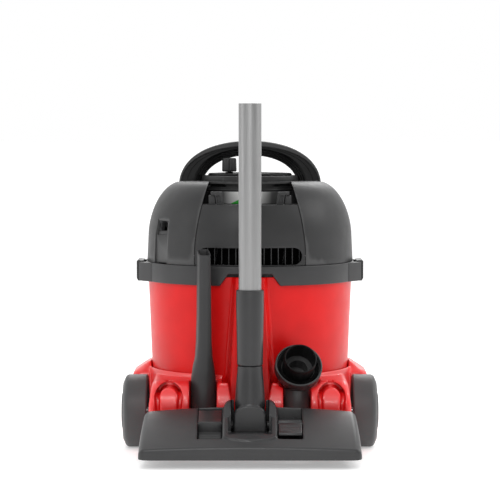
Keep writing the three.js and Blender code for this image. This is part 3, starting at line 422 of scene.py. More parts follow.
RED_TUB = plastic("red_tub", (0.66, 0.004, 0.004), 0.36, grain=0.02, coat=0.0, specular=0.25, wear_and_edge_light=0.2)
RED_BASE = plastic("red_base", (0.84, 0.006, 0.008), 0.4, grain=0.02, coat=0.25, specular=0.9, wear_and_edge_light=0.2)
GRAPHITE = plastic("graphite", (0.02, 0.02, 0.0205), 0.46, grain=0.1, specular=0.4)
CHARCOAL = plastic("charcoal", (0.031, 0.031, 0.032), 0.44, grain=0.08, specular=0.4)
SATIN = plastic("satin_charcoal", (0.024, 0.024, 0.025), 0.36, grain=0.05, specular=0.5)
BLACK = plastic("black", (0.003, 0.003, 0.0032), 0.5, grain=0.08, specular=0.2, wear_and_edge_light=0.05)
WHEEL_GREY = plastic("wheel_grey", (0.05, 0.05, 0.051), 0.5, grain=0.14, grain_scale=1500)
RUBBER = plastic("rubber", (0.012, 0.012, 0.012), 0.75, grain=0.2, grain_scale=900)
TUBE_METAL = metal("tube_metal", (0.32, 0.32, 0.32), 0.45, (1, 1, 0.02))
STEEL = metal("steel", (0.42, 0.43, 0.44), 0.3, (0.05, 1, 1))
# Painted shade: the sole's steel is made far darker than STEEL, as shade under the floor tool.
SHADED_SOLE_STEEL = metal("sole_steel_painted_shade", (0.09, 0.09, 0.095), 0.45, (0.05, 1, 1))
COPPER = metal("copper", (0.5, 0.2, 0.1), 0.35, (1, 1, 0.05))
FELT = cloth("felt", (0.66, 0.63, 0.56))
# Painted shade: the foam is made near-black so the gaps between the grille bars read as the shade behind
# them.
FOAM = foam("foam", (0.0015, 0.0015, 0.0015))

# The record's body for each CAD node.
BODY = {node: body for body, nodes in frame["record"]["behaviour"]["bodies"].items() for node in nodes}


def piece(name, obj, material, *nodes, angle=32):
    """Names a finished shape, gives it its material, and lets it stand for CAD nodes of one body."""
    obj.name = name
    obj.data.name = name
    obj.data.materials.clear()
    obj.data.materials.append(material)
    for polygon in obj.data.polygons:
        polygon.material_index = 0
    obj.data.shade_smooth()
    obj.data.set_sharp_from_angle(angle=math.radians(angle))
    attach(obj, BODY[nodes[0]])
    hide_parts(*nodes)
    return obj


def kept(node, material, bevel=0.5):
    """A CAD node that stays, smoothed and with its edges rounded."""
    obj = frame["nodes"][node]
    obj.data.materials.clear()
    obj.data.materials.append(material)
    obj.data.shade_smooth()
    obj.data.set_sharp_from_angle(angle=math.radians(32))
    modifier = obj.modifiers.new("bevel", "BEVEL")
    modifier.width = bevel * MM
    modifier.segments = 2
    modifier.limit_method = "ANGLE"
    modifier.angle_limit = math.radians(40)


# ---- Head: dome, panel, ring ----------------------------------------------------------------------
RING = Box("head_ring")
DOME = Box("head_dome")
PANEL = Box("rear_panel")
CAP = Box("top_cap")
PORT = Box("cable_port")
RING_R = (RING.y1 - RING.y0) / 2
DOME_R = DOME.x1
WELL_R = CAP.x1 + 2
WALL = 3.5
SWITCH = Box("switch_housing")
HANDLE_HALF = 107.5
PORT_TURN = math.atan2(PORT.y, PORT.x)
PORT_FLAT = math.hypot(PORT.x, PORT.y) + 8.3  # the flat that the outlet stands in, from the tub's axis
PORT_HALF, PORT_TALL = 18, 14.5


def dome_outline(inset=0.0):
    """The dome's outer profile from the ring up: nearly upright, then round to a flat top."""
    foot, waist = (DOME_R, DOME.z0), (DOME_R - 1.8, DOME.z0 + 40)
    curve = bezier(waist, (DOME_R - 2.6, DOME.z0 + 70), (DOME_R - 19, DOME.z1 - 4.5),
                   (DOME_R - 52, DOME.z1 - 0.3), 30)
    upright = [(foot[0] - 0.45 * k, foot[1] + 10 * k) for k in range(4)]
    points = [Vector(point) for point in [*upright, *curve]]
    made = [(foot[0] - inset, foot[1])]
    for before, point, after in zip(points, points[1:], points[2:] + [points[-1] + Vector((-1, 0))]):
        along = (after - before).normalized()
        made.append((point.x - inset * along.y, point.y + inset * along.x))
    return made


def dome_shell(inset=0.0):
    outer = dome_outline(inset)
    inner = dome_outline(inset + WALL)[::-1]
    top = outer[-1][1]
    return turned(outer + [(WELL_R, top), (WELL_R, top - WALL)] + inner, ROUND)


def panel_half(z):
    """Half-width of the rear panel at a height: upright sides that lean in along the dome."""
    foot = PANEL.x1 + 0.7
    lean = max(0.0, z - (DOME.z0 + 20)) / (DOME.z1 - DOME.z0 - 20)
    return foot - 20.5 * lean**1.6


def panel_outline(grow, low, high):
    """Outline, in (x, z), of the rear panel and of the recess above it; grow moves its sides outwards."""
    levels = [low + (high - low) * i / 24 for i in range(25)]
    return [(panel_half(z) + grow, z) for z in levels] + [(-panel_half(z) - grow, z) for z in levels[::-1]]


def port_block(x0, x1, half, z0, z1, radius=1.5):
    corners = filleted([(-half, z0), (half, z0), (half, z1), (-half, z1)], radius)
    obj = loft([[(x, y, z) for y, z in corners] for x in (x0, x1)])
    obj.data.transform(row_turn(PORT_TURN))
    return obj


def row_turn(angle):
    """A turn about the tub's axis, in the row frame."""
    to_axis = Matrix.Translation((0, AXIS_Y, 0))
    return to_axis @ Matrix.Rotation(angle, 4, "Z") @ to_axis.inverted()


def head_shell():
    deck = PANEL.z1
    behind = (-200, -30)
    opening = cut(prism(panel_outline(0, DOME.z0 - 5, DOME.z1 + 5), *behind, "Y"),
                  rod(WELL_R + 3, 200, 450, FINE))
    shell = cut(dome_shell(), opening)
    well = tube(WELL_R - 0.5, WELL_R + 2.5, deck - 4, CAP.z0 - 0.6, FINE)
    floor = common(
        tube(WELL_R, DOME_R - 18, deck - 4, deck - 0.5, ROUND),
        prism(panel_outline(1.5, deck - 10, deck), *behind, "Y"),
    )
    wall_low = deck - 4
    walls = cut(
        prism(panel_outline(2.6, wall_low, DOME.z1 - 0.6), *behind, "Y"),
        prism(panel_outline(0, wall_low - 1, DOME.z1 + 2), -210, -20, "Y"),
        rod(WELL_R + 1, 200, 450, FINE),
    )
    pad = port_block(122, 152, PORT_HALF + 2, PORT.z - PORT_TALL - 2, PORT.z + PORT_TALL + 2)
    backing = port_block(144.6, 156, PORT_HALF + 2.5, DOME.z0 + 1, PORT.z - PORT_TALL)
    shell = join(shell, well, floor, *[common(obj, inside_dome()) for obj in (walls, pad, backing)])
    half = (SWITCH.z1 - SWITCH.z0) / 2 + 0.4
    switch_hole = [(-15, SWITCH.z - half), (15, SWITCH.z - half), (15, SWITCH.z + half),
                   (-15, SWITCH.z + half)]
    tools = [
        port_block(PORT_FLAT, 200, PORT_HALF + 1, DOME.z0 - 5, PORT.z + PORT_TALL),
        port_block(PORT_FLAT - 2.6, 200, PORT_HALF - 2, PORT.z - PORT_TALL + 1, PORT.z + PORT_TALL),
        port_block(100, 200, 15.5, PORT.z - 7.6, PORT.z + 7.6),
        prism(switch_hole, 120, 170, "Y"),
        *both_sides(block(79.4, HANDLE_HALF + 1.6, -24, 30, 340, 400, 4)),
    ]
    shell = cut(shell, *tools)
    piece("head_dome_shell", bevelled(shell, 0.8), GRAPHITE, "head_dome")


def inside_dome():
    """The dome as a solid, a little smaller than its outer skin."""
    return turned([(0, DOME.z0), *dome_outline(0.4), (0, DOME.z1 - 0.9)], ROUND)


def rear_panel():
    panel = common(dome_shell(0.9), prism(panel_outline(-0.5, PANEL.z0, PANEL.z1), -200, -60, "Y"))
    grille = Box("exhaust_grille")
    opening = prism(slot_outline(grille.x1, grille.z0 + 2, grille.z1 - 2), -200, -60, "Y")
    piece("rear_panel_shell", bevelled(cut(panel, opening), 0.7), GRAPHITE, "rear_panel")


def head_ring():
    """The collar's section follows the notch over the tub's channel."""
    skirt = RING_R - 3.6
    notch_half, notch_foot, notch_top = 31.5, 44, RING.z0 + 17

    def low_at(x, y):
        if y > 0 or abs(x) > notch_foot:
            return RING.z0
        if abs(x) < notch_half:
            return notch_top
        return RING.z0 + (notch_top - RING.z0) * (notch_foot - abs(x)) / (notch_foot - notch_half)

    steps = 720
    rings = []
    for i in range(steps):
        angle = 2 * math.pi * i / steps
        c, s = math.cos(angle), math.sin(angle)
        low = low_at(RING_R * c, RING_R * s)
        flange = 257.2
        section = filleted(
            [(skirt, low), (RING_R, low), (RING_R, RING.z1), (skirt - 3, RING.z1), (skirt - 3, flange + 4),
             (112, flange + 4), (112, flange), (skirt, flange)],
            [0.6, 1.6, 1.8, 0.6, 1, 1, 1, 0.5], steps=4)
        rings.append([(r * c, r * s, z) for r, z in section])
    ring = loft(rings, looped=True)
    flare = [(130, -64), (144, -64), (165, -35), (165, 35), (144, 64), (130, 64)]
    lug = prism(filleted(flare, [0, 12, 3, 3, 12, 0]), RING.z0 + 0.3, RING.z1 - 0.2)
    lug = cut(lug, rod(skirt, 200, 300, ROUND))
    bay = join(
        block(158.6, 175, -27.6, 27.6, 230, 275), block(155, 175, -27.6, 27.6, 256, 275)
    )
    ring = join(ring, *both_sides(lug))
    ring = cut(ring, *both_sides(bay), block(-170, 170, -20, 20, 230, 252.5))
    piece("head_collar", ring, CHARCOAL, "head_ring")


def exhaust_grille():
    box = Box("exhaust_grille")
    low, high = box.z0 + 2, box.z1 - 2
    outer = -box.y0
    strip = common(tube(outer - 5, outer, box.z0, box.z1, ROUND), block(box.x0, box.x1, -170, -60, 250, 300))
    pitch, bar = 10.2, 1.3
    count = int(box.x1 // pitch)
    windows = []
    for i in range(-count, count + 1):
        left, right = i * pitch + bar / 2, (i + 1) * pitch - bar / 2
        windows.append(block(left, min(right, box.x1 - 1), -170, -60, low, high))
    piece("exhaust_grille_bars", bevelled(cut(strip, *windows), 0.3), GRAPHITE, "exhaust_grille")


# ---- Head: cap, handle, winder and trim -----------------------------------------------------------
def top_cap():
    low, top, opening = CAP.z0, CAP.z1, 63.6
    profile = filleted(
        [(opening, low), (CAP.x1, low), (CAP.x1 - 1.6, low + 3), (CAP.x1 - 3, top), (opening, top)],
        [0.4, 0.8, 2, 1.8, 0.6],
    )
    body = turned(profile, ROUND)
    notch = prism(filleted([(34, low + 5.5), (66, low + 5.5), (66, low + 11.5), (40, low + 11.5)], 1), -95,
                  -30, "Y")
    notch = cut(notch, rod(CAP.x1 - 9, 360, 400, ROUND))
    piece("winder_cap", bevelled(cut(body, *both_sides(notch)), 0.4), GRAPHITE, "top_cap")


def recess_fittings():
    """The two posts in the rear recess, part of the dome's moulding."""
    deck = PANEL.z1
    bracket = [(37.8, deck - 1), (40.4, 374), (57, 374.4), (57, 370), (50.5, 369.6), (48.5, deck - 1)]
    post = prism(filleted(bracket, [0, 1, 1, 0.6, 2, 0]), -124, -113, "Y")
    scoop = prism(filleted([(41.6, deck + 2), (47, deck + 2), (48.5, 369), (43.4, 369)], 1), -130, -121, "Y")
    shelf_block = prism(filleted([(49.8, deck - 1), (51.5, 368.8), (60, 368.8), (60, deck - 1)],
                                 [0, 1, 0, 0]), -119, -112, "Y")
    post = bevelled(join(cut(post, scoop), shelf_block), 0.7)
    posts = join(post, mirrored(post))
    posts.name = posts.data.name = "recess_posts"
    posts.data.materials.append(GRAPHITE)
    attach(posts, "head")


LEAN = math.radians(22)
PIVOT_Z = 377.5


def handle_curve(half, crown, foot=-4.5, steps=48):
    """Half-round arch through (x, z), from the right foot to the left."""
    rise = foot + 0.64 * (crown - foot)
    right = bezier((half, foot), (half, rise), (half * 0.6, crown), (0, crown), steps)
    return right + [(-x, z) for x, z in right[-2::-1]]


def along_handle(outer, inner, section, name, material, node):
    """A bar between two arches; section gives (share of thickness, y) points round the bar."""
    rings = []
    for (ox, oz), (ix, iz) in zip(outer, inner):
        ring = []
        for share, y in section:
            x, z = ix + (ox - ix) * share, iz + (oz - iz) * share
            clear = 80 - 3 * max(0.0, z - 8)  # the dome's wall beside the feet
            ring.append((math.copysign(max(abs(x) * (1 - 0.13 * (y / 34 + 0.5)), clear), x), y, z))
        rings.append(ring)
    bar = loft(rings)
    place = Matrix.Translation((0, AXIS_Y, PIVOT_Z * MM)) @ Matrix.Rotation(-LEAN, 4, "X")
    bar.data.transform(place @ Matrix.Translation((0, -AXIS_Y, 0)))
    return piece(name, bar, material, node)


def carry_handle():
    """A grey band that thins towards its feet, over a black ribbed core."""
    half, crown, depth = HANDLE_HALF, 70.5, 17
    outer, inner = handle_curve(half, crown), handle_curve(half - 3.6, crown - 11)
    crowned = [(1 - 0.1 * (2 * k / 12 - 1) ** 2, (depth - 3) * (2 * k / 12 - 1)) for k in range(13)]
    right = [(0.78, depth - 1.1), (0.62, depth), (0.1, depth), (0.0, depth - 1)]
    section = crowned + right + [(t, -y) for t, y in right[::-1]]
    along_handle(outer, inner, section, "carry_handle_arch", GRAPHITE, "carry_handle")
    core_outer, core_inner = handle_curve(half - 3.9, crown - 11.3), handle_curve(half - 24, crown - 13.6)
    side = [(1, 15.2), (0.62, 15.2), (0.6, 14.4), (0.5, 14.4), (0.48, 15.2), (0.12, 15.2)]
    ribs = []
    for k in range(4):
        left = -13.4 + k * 7.1
        ribs += [(0.0, left), (0.0, left + 4.2), (0.5, left + 4.6), (0.5, left + 6.6)]
    section = [(t, -y) for t, y in side] + ribs[:-2] + side[::-1]
    along_handle(core_outer, core_inner, section, "carry_handle_grip", BLACK, "handle_insert")


def winder():
    disc = Box("winder_disc")
    knob = Box("winder_knob")
    r, low, top = disc.x1, 391, 399
    profile = [(0, low - 4.6), (20, low - 4.6), (20, low), (r - 1.5, low), (r, low + 1.5), (r, top - 1.6),
               (r - 1.6, top)]
    profile += [(r - 4.5, top), (r - 6, top - 1.8), (r - 15, top - 2.2), (r - 16, top - 3.2), (20, top - 3.2)]
    profile += [(19, top - 2.2), (9, top - 2.2), (8, top - 1.4), (0, top - 1.2)]
    plate = turned(filleted(profile, 0.5, closed=False, steps=3), ROUND)
    post = rod(6, top - 4, knob.z0 - 0.4, SMALL, moved_to(knob.x, 0, 0), edge=0.6)
    stem = rod(3.4, top - 3, knob.z1 - 5, SMALL, moved_to(knob.x, 0, 0), edge=0.5)
    piece("winder_crank_disc", join(plate, post, stem), BLACK, "winder_disc")
    rings = []
    grip = (knob.x1 - knob.x0) / 2
    heights = [(knob.z0, 0.86), (knob.z0 + 0.8, 0.97), (knob.z0 + 2.5, 1.0), (knob.z1 - 2.4, 0.96),
               (knob.z1 - 0.9, 0.9),
               (knob.z1 - 0.2, 0.8), (knob.z1, 0.66), (knob.z1 - 0.6, 0.3)]
    for z, size in heights:
        ring = []
        for i in range(96):
            angle = 2 * math.pi * i / 96
            flute = max(0.0, math.cos(8 * angle)) ** 4 * (1.5 if z > knob.z0 + 2 else 0.4)
            r = (grip - flute) * size
            ring.append((knob.x + r * math.cos(angle), r * math.sin(angle), z))
        rings.append(ring)
    turner = cut(loft(rings), rod(3.9, knob.z0 - 1, knob.z1 - 4.5, SMALL, moved_to(knob.x, 0, 0)))
    piece("winder_crank_knob", turner, GRAPHITE, "winder_knob", angle=50)


def cable_outlet():
    z = PORT.z
    corners = filleted([(-15, z - 7.2), (15, z - 7.2), (15, z + 7.2), (-15, z + 7.2)], 1.5)
    plate = loft([[(x, y, h) for y, h in corners] for x in (PORT_FLAT - 12, PORT_FLAT - 3)])
    hole = arc(6, z, 6.2, -90, 90, 10) + arc(-7.2, z, 6.2, 90, 270, 10)
    throat = loft([[(x, y, h) for y, h in hole] for x in (PORT_FLAT - 14, PORT_FLAT - 1)])
    plate = bevelled(cut(plate, throat), 0.6)
    pin = rod(1.5, z - 6.4, z + 6.4, SMALL, moved_to(PORT_FLAT - 5.2, -8.6, 0), edge=0.4)
    for obj in (plate, pin):
        obj.data.transform(row_turn(PORT_TURN))
    piece("cable_outlet_plate", plate, GRAPHITE, "cable_port")
    pin.name = pin.data.name = "cable_guide_pin"
    pin.data.materials.append(STEEL)
    pin.data.shade_smooth()
    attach(pin, "head")


def rocker_switch():
    half = SWITCH.x1
    y0, y1 = SWITCH.y0, SWITCH.y1
    tall = (SWITCH.z1 - SWITCH.z0) / 2
    frame_block = prism(filleted([(-half, SWITCH.z - tall), (half, SWITCH.z - tall), (half, SWITCH.z + tall),
                                  (-half, SWITCH.z + tall)], 3), y0, y1, "Y")
    room = prism(filleted([(-half + 2.6, SWITCH.z - tall + 1.1), (half - 2.6, SWITCH.z - tall + 1.1),
                           (half - 2.6, SWITCH.z + tall - 1.1), (-half + 2.6, SWITCH.z + tall - 1.1)], 1),
                 y0 + 1.6, y1 + 5, "Y")
    piece("switch_bezel", bevelled(cut(frame_block, room), 0.6), BLACK, "switch_housing")
    rocker = Box("switch_rocker")
    yc, zc = 141, 322
    face = arc(yc + 28, zc + 0.5, 20.5, 154, 206, 14)[::-1]
    profile = [(yc - 1.5, zc - 8.8)] + [(y, z) for y, z in face] + [(yc - 1.5, zc + 8.8)]
    body = prism(filleted(profile, [0.5] + [0] * len(face) + [0.5]), rocker.x0, rocker.x1, "X")
    piece("switch_rocker_cap", bevelled(body, 0.7), RED_TUB, "switch_rocker")


def latches():
    for label, side in (("left", -1), ("right", 1)):
        outer, half, low, top, pin_x, pin_z = 169, 27, 239, 270, 161.2, 263.5
        plate_x, claw = outer - 5.4, 157.7
        profile = [(outer, low + 4), (outer, top - 2), (outer - 1.8, top), (pin_x - 2.4, top - 1),
                   (pin_x - 2.4, pin_z - 3),
                   (plate_x - 0.4, pin_z - 6), (plate_x - 0.4, 247), (claw, 245.6), (claw, 242),
                   (plate_x, low),
                   (outer - 2.4, low)]
        body = prism(filleted(profile, [2, 1.2, 0.8, 0.8, 1, 1, 1, 0.4, 0.4, 1, 1.2]), -half, half, "Y")
        tools = [rod_y(2.1, -40, 40, pin_x, pin_z), block(150, plate_x - 0.4, 14, 40, 230, 252),
                 block(150, plate_x - 0.4, -40, -14, 230, 252)]
        tools += [rod_y(1.1, -half + 6, half - 6, outer + 0.4, 250 + 3.4 * k, SMALL) for k in range(4)]
        body = bevelled(cut(body, *tools), 0.6)
        if side < 0:
            mirror = mirrored(body)
            bpy.data.objects.remove(body)
            body = mirror
        piece("latch_plate_" + label, body, CHARCOAL, "latch_" + label)
        kept("latch_pin_" + label, STEEL)


# ---- Tub ------------------------------------------------------------------------------------------
TUB = Box("tub")
TUB_TOP = 252
TUB_BASE_R, TUB_RIM_R = 145.2, 152.4


def soft_max(a, b, reach):
    """The larger of two numbers, with the corner between them rounded."""
    gap = max(reach - abs(a - b), 0) / reach
    return max(a, b) + gap * gap * reach / 4


def soft_min(a, b, reach):
    return -soft_max(-a, -b, reach)


def tower_reach(bearing, z):
    """How far the tower at the rear stands from the tub's axis in a direction, counted from straight back."""
    share = min(max((z - 66) / (247 - 66), 0), 1)
    half = 38 - 12 * share
    back = 176 - 8 * share
    if z > 240:
        back -= 0.55 * (z - 240) ** 1.25
    c, s = math.cos(bearing), abs(math.sin(bearing))
    flat = back / c
    slope = (half * 0.2) / (back - 128)
    side = (half * 0.8 + slope * back) / (s + slope * c)
    return soft_min(flat, side, 7)


def tub_radius(z):
    """The plain wall's radius, with its rounded foot."""
    foot = TUB.z0 + 9
    if z < foot:
        return TUB_BASE_R - 9 + 9 * math.sqrt(max(0, 1 - ((foot - z) / 9) ** 2))
    return TUB_BASE_R + (TUB_RIM_R - TUB_BASE_R) * (z - foot) / (TUB_TOP - foot)


def tub_shell():
    fine = [math.radians(-20 + 0.25 * i) for i in range(161)]
    coarse = [math.radians(20 + 320 * i / 160) for i in range(1, 160)]
    bearings = fine + coarse
    heights = [TUB.z0 + 9 * (1 - math.cos(math.radians(15 * k))) for k in range(7)]
    heights += [TUB.z0 + 9 + (238 - TUB.z0 - 9) * k / 26 for k in range(1, 27)]
    heights += [240, 242, 244, 246, 248, 250, TUB_TOP - 0.6, TUB_TOP]

    def outside(z):
        rim = 0.6 if z >= TUB_TOP else 0
        ring = []
        for bearing in bearings:
            r = tub_radius(z)
            near = abs((bearing + math.pi) % (2 * math.pi) - math.pi) < math.radians(30)
            if near:
                r = soft_max(r, tower_reach(bearing, z), 14)
            r -= rim
            ring.append((r * math.sin(bearing), -r * math.cos(bearing), z))
        return ring

    def inside(r, z):
        return [(r * math.sin(bearing), -r * math.cos(bearing), z) for bearing in bearings]

    rings = [inside(TUB_BASE_R - 12, TUB.z0)] + [outside(z) for z in heights]
    rings += [inside(TUB_RIM_R - 3.4, TUB_TOP), inside(TUB_RIM_R - 3.4, TUB_TOP - 6)]
    rings += [inside(TUB_BASE_R - 3.4, TUB.z0 + 14), inside(TUB_BASE_R - 7, TUB.z0 + 6),
              inside(TUB_BASE_R - 16, TUB.z0 + 3.4)]
    shell = loft(rings)
    inlet_z = INLET.z
    boss = turned(filleted([(0, 130), (33, 130), (33, 160), (0, 160)], [0, 0, 2.5, 0], closed=False), FINE,
                  moved_to(0, 0, inlet_z) @ ALONG_Y)
    boss = cut(boss, rod(TUB_BASE_R - 1, 100, 250, ROUND))
    catch = cut(block(140, 157, -17, 17, 246, 250.5, 1), rod(TUB_RIM_R - 2.5, 230, 260, ROUND))
    shell = join(shell, boss, *both_sides(catch))
    shell = cut(shell, rod_y(28.5, 100, 180, 0, inlet_z, FINE))
    piece("tub_shell", shell, RED_TUB, "tub", angle=40)


INLET = Box("hose_inlet_collar")


def hose_inlet():
    place = moved_to(0, 0, INLET.z) @ ALONG_Y
    back, face = INLET.y0, INLET.y1
    collar = turned(
        filleted([(23.4, back), (33, back), (33, face - 3), (29, face), (19.5, face), (19.5, face - 5),
                  (23.4, face - 5)],
                 [0.3, 0.6, 2.5, 1.5, 1, 0.3, 0.3]), FINE, place)
    grips = [rod_y(1.6, face - 9, face + 1, 33.6 * math.cos(a), INLET.z + 33.6 * math.sin(a))
             for a in (math.radians(15 + 30 * k) for k in range(12))]
    piece("hose_inlet_ring", bevelled(cut(collar, *grips), 0.4), BLACK, "hose_inlet_collar")
    pipe = Box("inlet_pipe")
    profile = [(19.5, pipe.y0), (23, pipe.y0), (23, 136), (28.1, 139), (28.1, back - 0.4), (23, back - 0.4),
               (23, pipe.y1), (19.5, pipe.y1)]
    barrel = turned(filleted(profile, 0.5, steps=3), FINE, place)
    piece("inlet_tube", barrel, GRAPHITE, "inlet_pipe")


# ---- Chassis --------------------------------------------------------------------------------------
CHASSIS = Box("chassis")
FRONT_R, SIDE, REAR_HALF, WING = 178, 175, 145.5, -37
SHELF_TOP, SHELF_REAR, SHELF_ROUND = 104, -198, 34
POCKET_X, POCKET_Y, POCKET_R = 67, -160, 19.7
AXLE_Y, AXLE_Z = -95, 53
CASTOR_X, CASTOR_Y = 101, 126.5
PEDAL_INNER, PEDAL_OUTER = 38.5, 73
PEDAL_Y, PEDAL_Z = -266, 55
CUP_TURN = math.radians(8)
CUP_RISE = math.radians(35)


def chassis_plan(inset):
    """Plan of the chassis body: round in front, straight sides, stepped in behind the wheel wings."""
    r, side, rear_half = FRONT_R - inset, SIDE - inset, REAR_HALF - inset
    wing, rear = WING + inset, -150 + inset
    turn = math.degrees(math.acos(side / r))
    corner = 15 - min(inset, 13)
    front = arc(0, 0, r, turn, 180 - turn, 64)
    step = filleted([(-side, 0), (-side, wing), (-rear_half, wing), (-rear_half, rear)], [0, corner, 3, 0],
                    False, 8)
    rear_side = [(rear_half, rear)] + [(-x, y) for x, y in step[::-1][1:]]
    return front + step + rear_side


def shelf_outline(inset, low=38):
    """Side profile, in (y, z), of the shelf that carries the tools behind the tub."""
    r = SHELF_ROUND - inset
    top = arc(SHELF_REAR + SHELF_ROUND, SHELF_TOP - SHELF_ROUND, r, 90, 180, 20)
    return [(-40, low), (-40, SHELF_TOP - inset)] + top + [(SHELF_REAR + inset, low)]


def shelf(inset, half, low=38, edge=7):
    """The shelf, with rounded ends that lean in towards the top."""
    turns = [math.radians(angle) for angle in range(0, 91, 10)]
    ends = [(-half + edge * (1 - math.cos(a)), inset + edge * (1 - math.sin(a))) for a in turns]
    levels = ends + [(-x, i) for x, i in ends[::-1]]
    body = loft([[(x, y, z) for y, z in shelf_outline(i, low)] for x, i in levels])
    for vertex in body.data.vertices:
        vertex.co.x *= 1 - 0.035 * max(0.0, vertex.co.z / MM - 60) / 44
    return body


def horseshoe(x, outer=20, inner=13, crown=102):
    """A horseshoe-shaped groove, open downwards, in (x, z)."""
    centre, foot = crown - outer, 36
    outside = [(x + outer * 0.8, foot)] + arc(x, centre, outer, 0, 180, 24) + [(x - outer * 0.8, foot)]
    inside = [(x - inner * 0.75, foot)] + arc(x, centre, inner, 180, 0, 24) + [(x + inner * 0.75, foot)]
    return prism(outside + inside, -215, -150, "Y")


def cup_place(x, y, z=114):
    """Axes of the dusting nozzle's cup: z points out of the cup."""
    turn = Matrix.Rotation(CUP_TURN, 4, "Z") @ Matrix.Rotation(math.pi / 2 - CUP_RISE, 4, "X")
    return moved_to(x, y, z) @ turn


def chassis_shell():
    top, skirt, wall = CHASSIS.z1, 56, 4
    sloped = [(99, 0), (101.4, 0.6), (103.4, 2.2), (105.2, 4.6), (117, 22.4), (118, 24.2), (top, 26)]
    main = loft([[(x, y, z) for x, y in chassis_plan(i)] for z, i in [(skirt, 0)] + sloped])
    main = cut(main, block(-200, 200, -260, -41, skirt + 1.5, top + 5))
    body = join(main, shelf(0, REAR_HALF + 0.2))
    collar_profile = [(0, 58), (152.5, 58), (152.5, 104), (151, 110.5), (0, 110.5)]
    collar = turned(filleted(collar_profile, [0, 0, 2, 2, 0], closed=False), ROUND)
    channel_walls = block(-43.5, 43.5, -181, -120, 58, SHELF_TOP - 1)
    body = join(body, collar, channel_walls)
    hollow_levels = [(skirt - 2, wall), (SHELF_TOP - wall - 3, wall)]
    hollow = loft([[(x, y, z) for x, y in chassis_plan(i)] for z, i in hollow_levels])
    shelf_hollow = prism(shelf_outline(20, 34), 12 - REAR_HALF, REAR_HALF - 12, "X")
    hollow = cut(hollow, rod(152, 40, 200, ROUND), block(-200, 200, -260, -44, 30, 200))
    shelf_hollow = cut(shelf_hollow, rod(152, 30, 200, ROUND), block(-44, 44, -182, -120, 30, 200))
    body = cut(body, hollow, shelf_hollow)
    seat = common(rod(39, -18, 80, FINE, cup_place(POCKET_X, POCKET_Y)), shelf(1.2, REAR_HALF - 8))
    sockets = both_sides(rod(POCKET_R + 3.6, 44, SHELF_TOP - 3, FINE, moved_to(POCKET_X, POCKET_Y, 0)))
    bosses = both_sides(rod(11, skirt + 0.5, top - 12, SMALL, moved_to(CASTOR_X, CASTOR_Y, 0)))
    axle_tube = rod_x(12, -REAR_HALF + 2, REAR_HALF - 2, AXLE_Y, AXLE_Z)
    body = join(body, axle_tube, seat, *sockets, *bosses)
    groove = cut(horseshoe(116, crown=103.5), prism(shelf_outline(16, 30), -150, 150, "X"))
    valley = prism(filleted([(-38, 130), (-32, 107), (-22, 61), (22, 61), (32, 107), (38, 130)],
                            [0, 12, 4, 4, 12, 0]),
                   -215, -150, "Y")
    tools = [
        rod(148.3, 63.6, 140, ROUND),
        block(-39.5, 39.5, -177.5, -120, 63.6, 140),
        valley,
        rod_x(5.4, -200, 200, AXLE_Y, AXLE_Z),
        rod(35.6, -16, 80, FINE, cup_place(POCKET_X, POCKET_Y)),
        *both_sides(
            rod(POCKET_R, 49, 140, FINE, moved_to(POCKET_X, POCKET_Y, 0)),
            block(POCKET_X - POCKET_R, POCKET_X + POCKET_R, -215, POCKET_Y, 62, 140),
            rod(5.4, 50, 93, SMALL, moved_to(CASTOR_X, CASTOR_Y, 0)),
            groove,
        ),
    ]
    body = cut(body, *tools)
    body = join(body, *both_sides(rod(8, 47, 66, SMALL, moved_to(POCKET_X, POCKET_Y, 0))))
    piece("chassis_moulding", moulded(body, 1.2, 9, 0.4), RED_BASE, "chassis", angle=60)


# ---- Running gear ---------------------------------------------------------------------------------
def rear_wheels():
    wheel = Box("wheel_right")
    r = (wheel.z1 - wheel.z0) / 2
    inner, outer, tread = wheel.x0, wheel.x1, 178
    cap = 26
    profile = [(5.4, inner + 6), (13, inner + 6), (13, inner + 20), (45, inner + 20), (45, inner + 1),
               (r - 2, inner),
               (r, inner + 2), (r, tread - 2)]
    shoulder = arc(r - 9, tread - 2, 9, 12, 74, 10, ry=7.2)
    face = [(42, outer - 1.9), (41, outer - 3.4), (32, outer - 3.0), (31, outer - 0.9),
            (cap + 0.5, outer - 0.7),
            (cap + 0.5, outer - 4.6), (5.4, outer - 4.6)]
    body = turned(filleted(profile, [0.5, 0.5, 1, 1, 1, 1, 1.5, 0])
                  + shoulder + filleted(face, [1.2, 1, 1, 0.8, 0.5, 0.5, 0.5], closed=False), ROUND)
    holes = [rod(4.2, outer - 14, outer + 4, SMALL, moved_to(36.5 * math.cos(a), 36.5 * math.sin(a), 0))
             for a in (2 * math.pi * k / 10 for k in range(10))]
    dimples = [cut(hole, block(-100, 100, -100, 100, 0, outer - 5.2)) for hole in holes]
    body = bevelled(cut(body, *dimples), 0.4, 2, 45)
    cap_profile = [(0, outer - 3.6), (cap, outer - 3.6), (cap, outer - 0.4), (cap - 1.5, outer + 0.3),
                   (15, outer + 0.5)]
    cap_profile += [(14, outer - 0.4), (8, outer - 0.4), (7, outer + 0.6), (0, outer + 0.7)]
    hub = turned(filleted(cap_profile, 0.5, closed=False, steps=3), FINE)
    for obj, name, material, node in ((body, "rear_wheel", WHEEL_GREY, "wheel"),
                                      (hub, "wheel_hub", GRAPHITE, "hub_cap")):
        to_axis = Matrix.Translation((0, -AXIS_Y, 0))
        place = Matrix.Translation((0, AXIS_Y - 0.095, 0.053)) @ ALONG_X @ to_axis
        obj.data.transform(place)
        twin = mirrored(obj)
        piece(name + "_right", obj, material, node + "_right")
        piece(name + "_left", twin, material, node + "_left")
    kept("rear_axle", STEEL, 0.3)


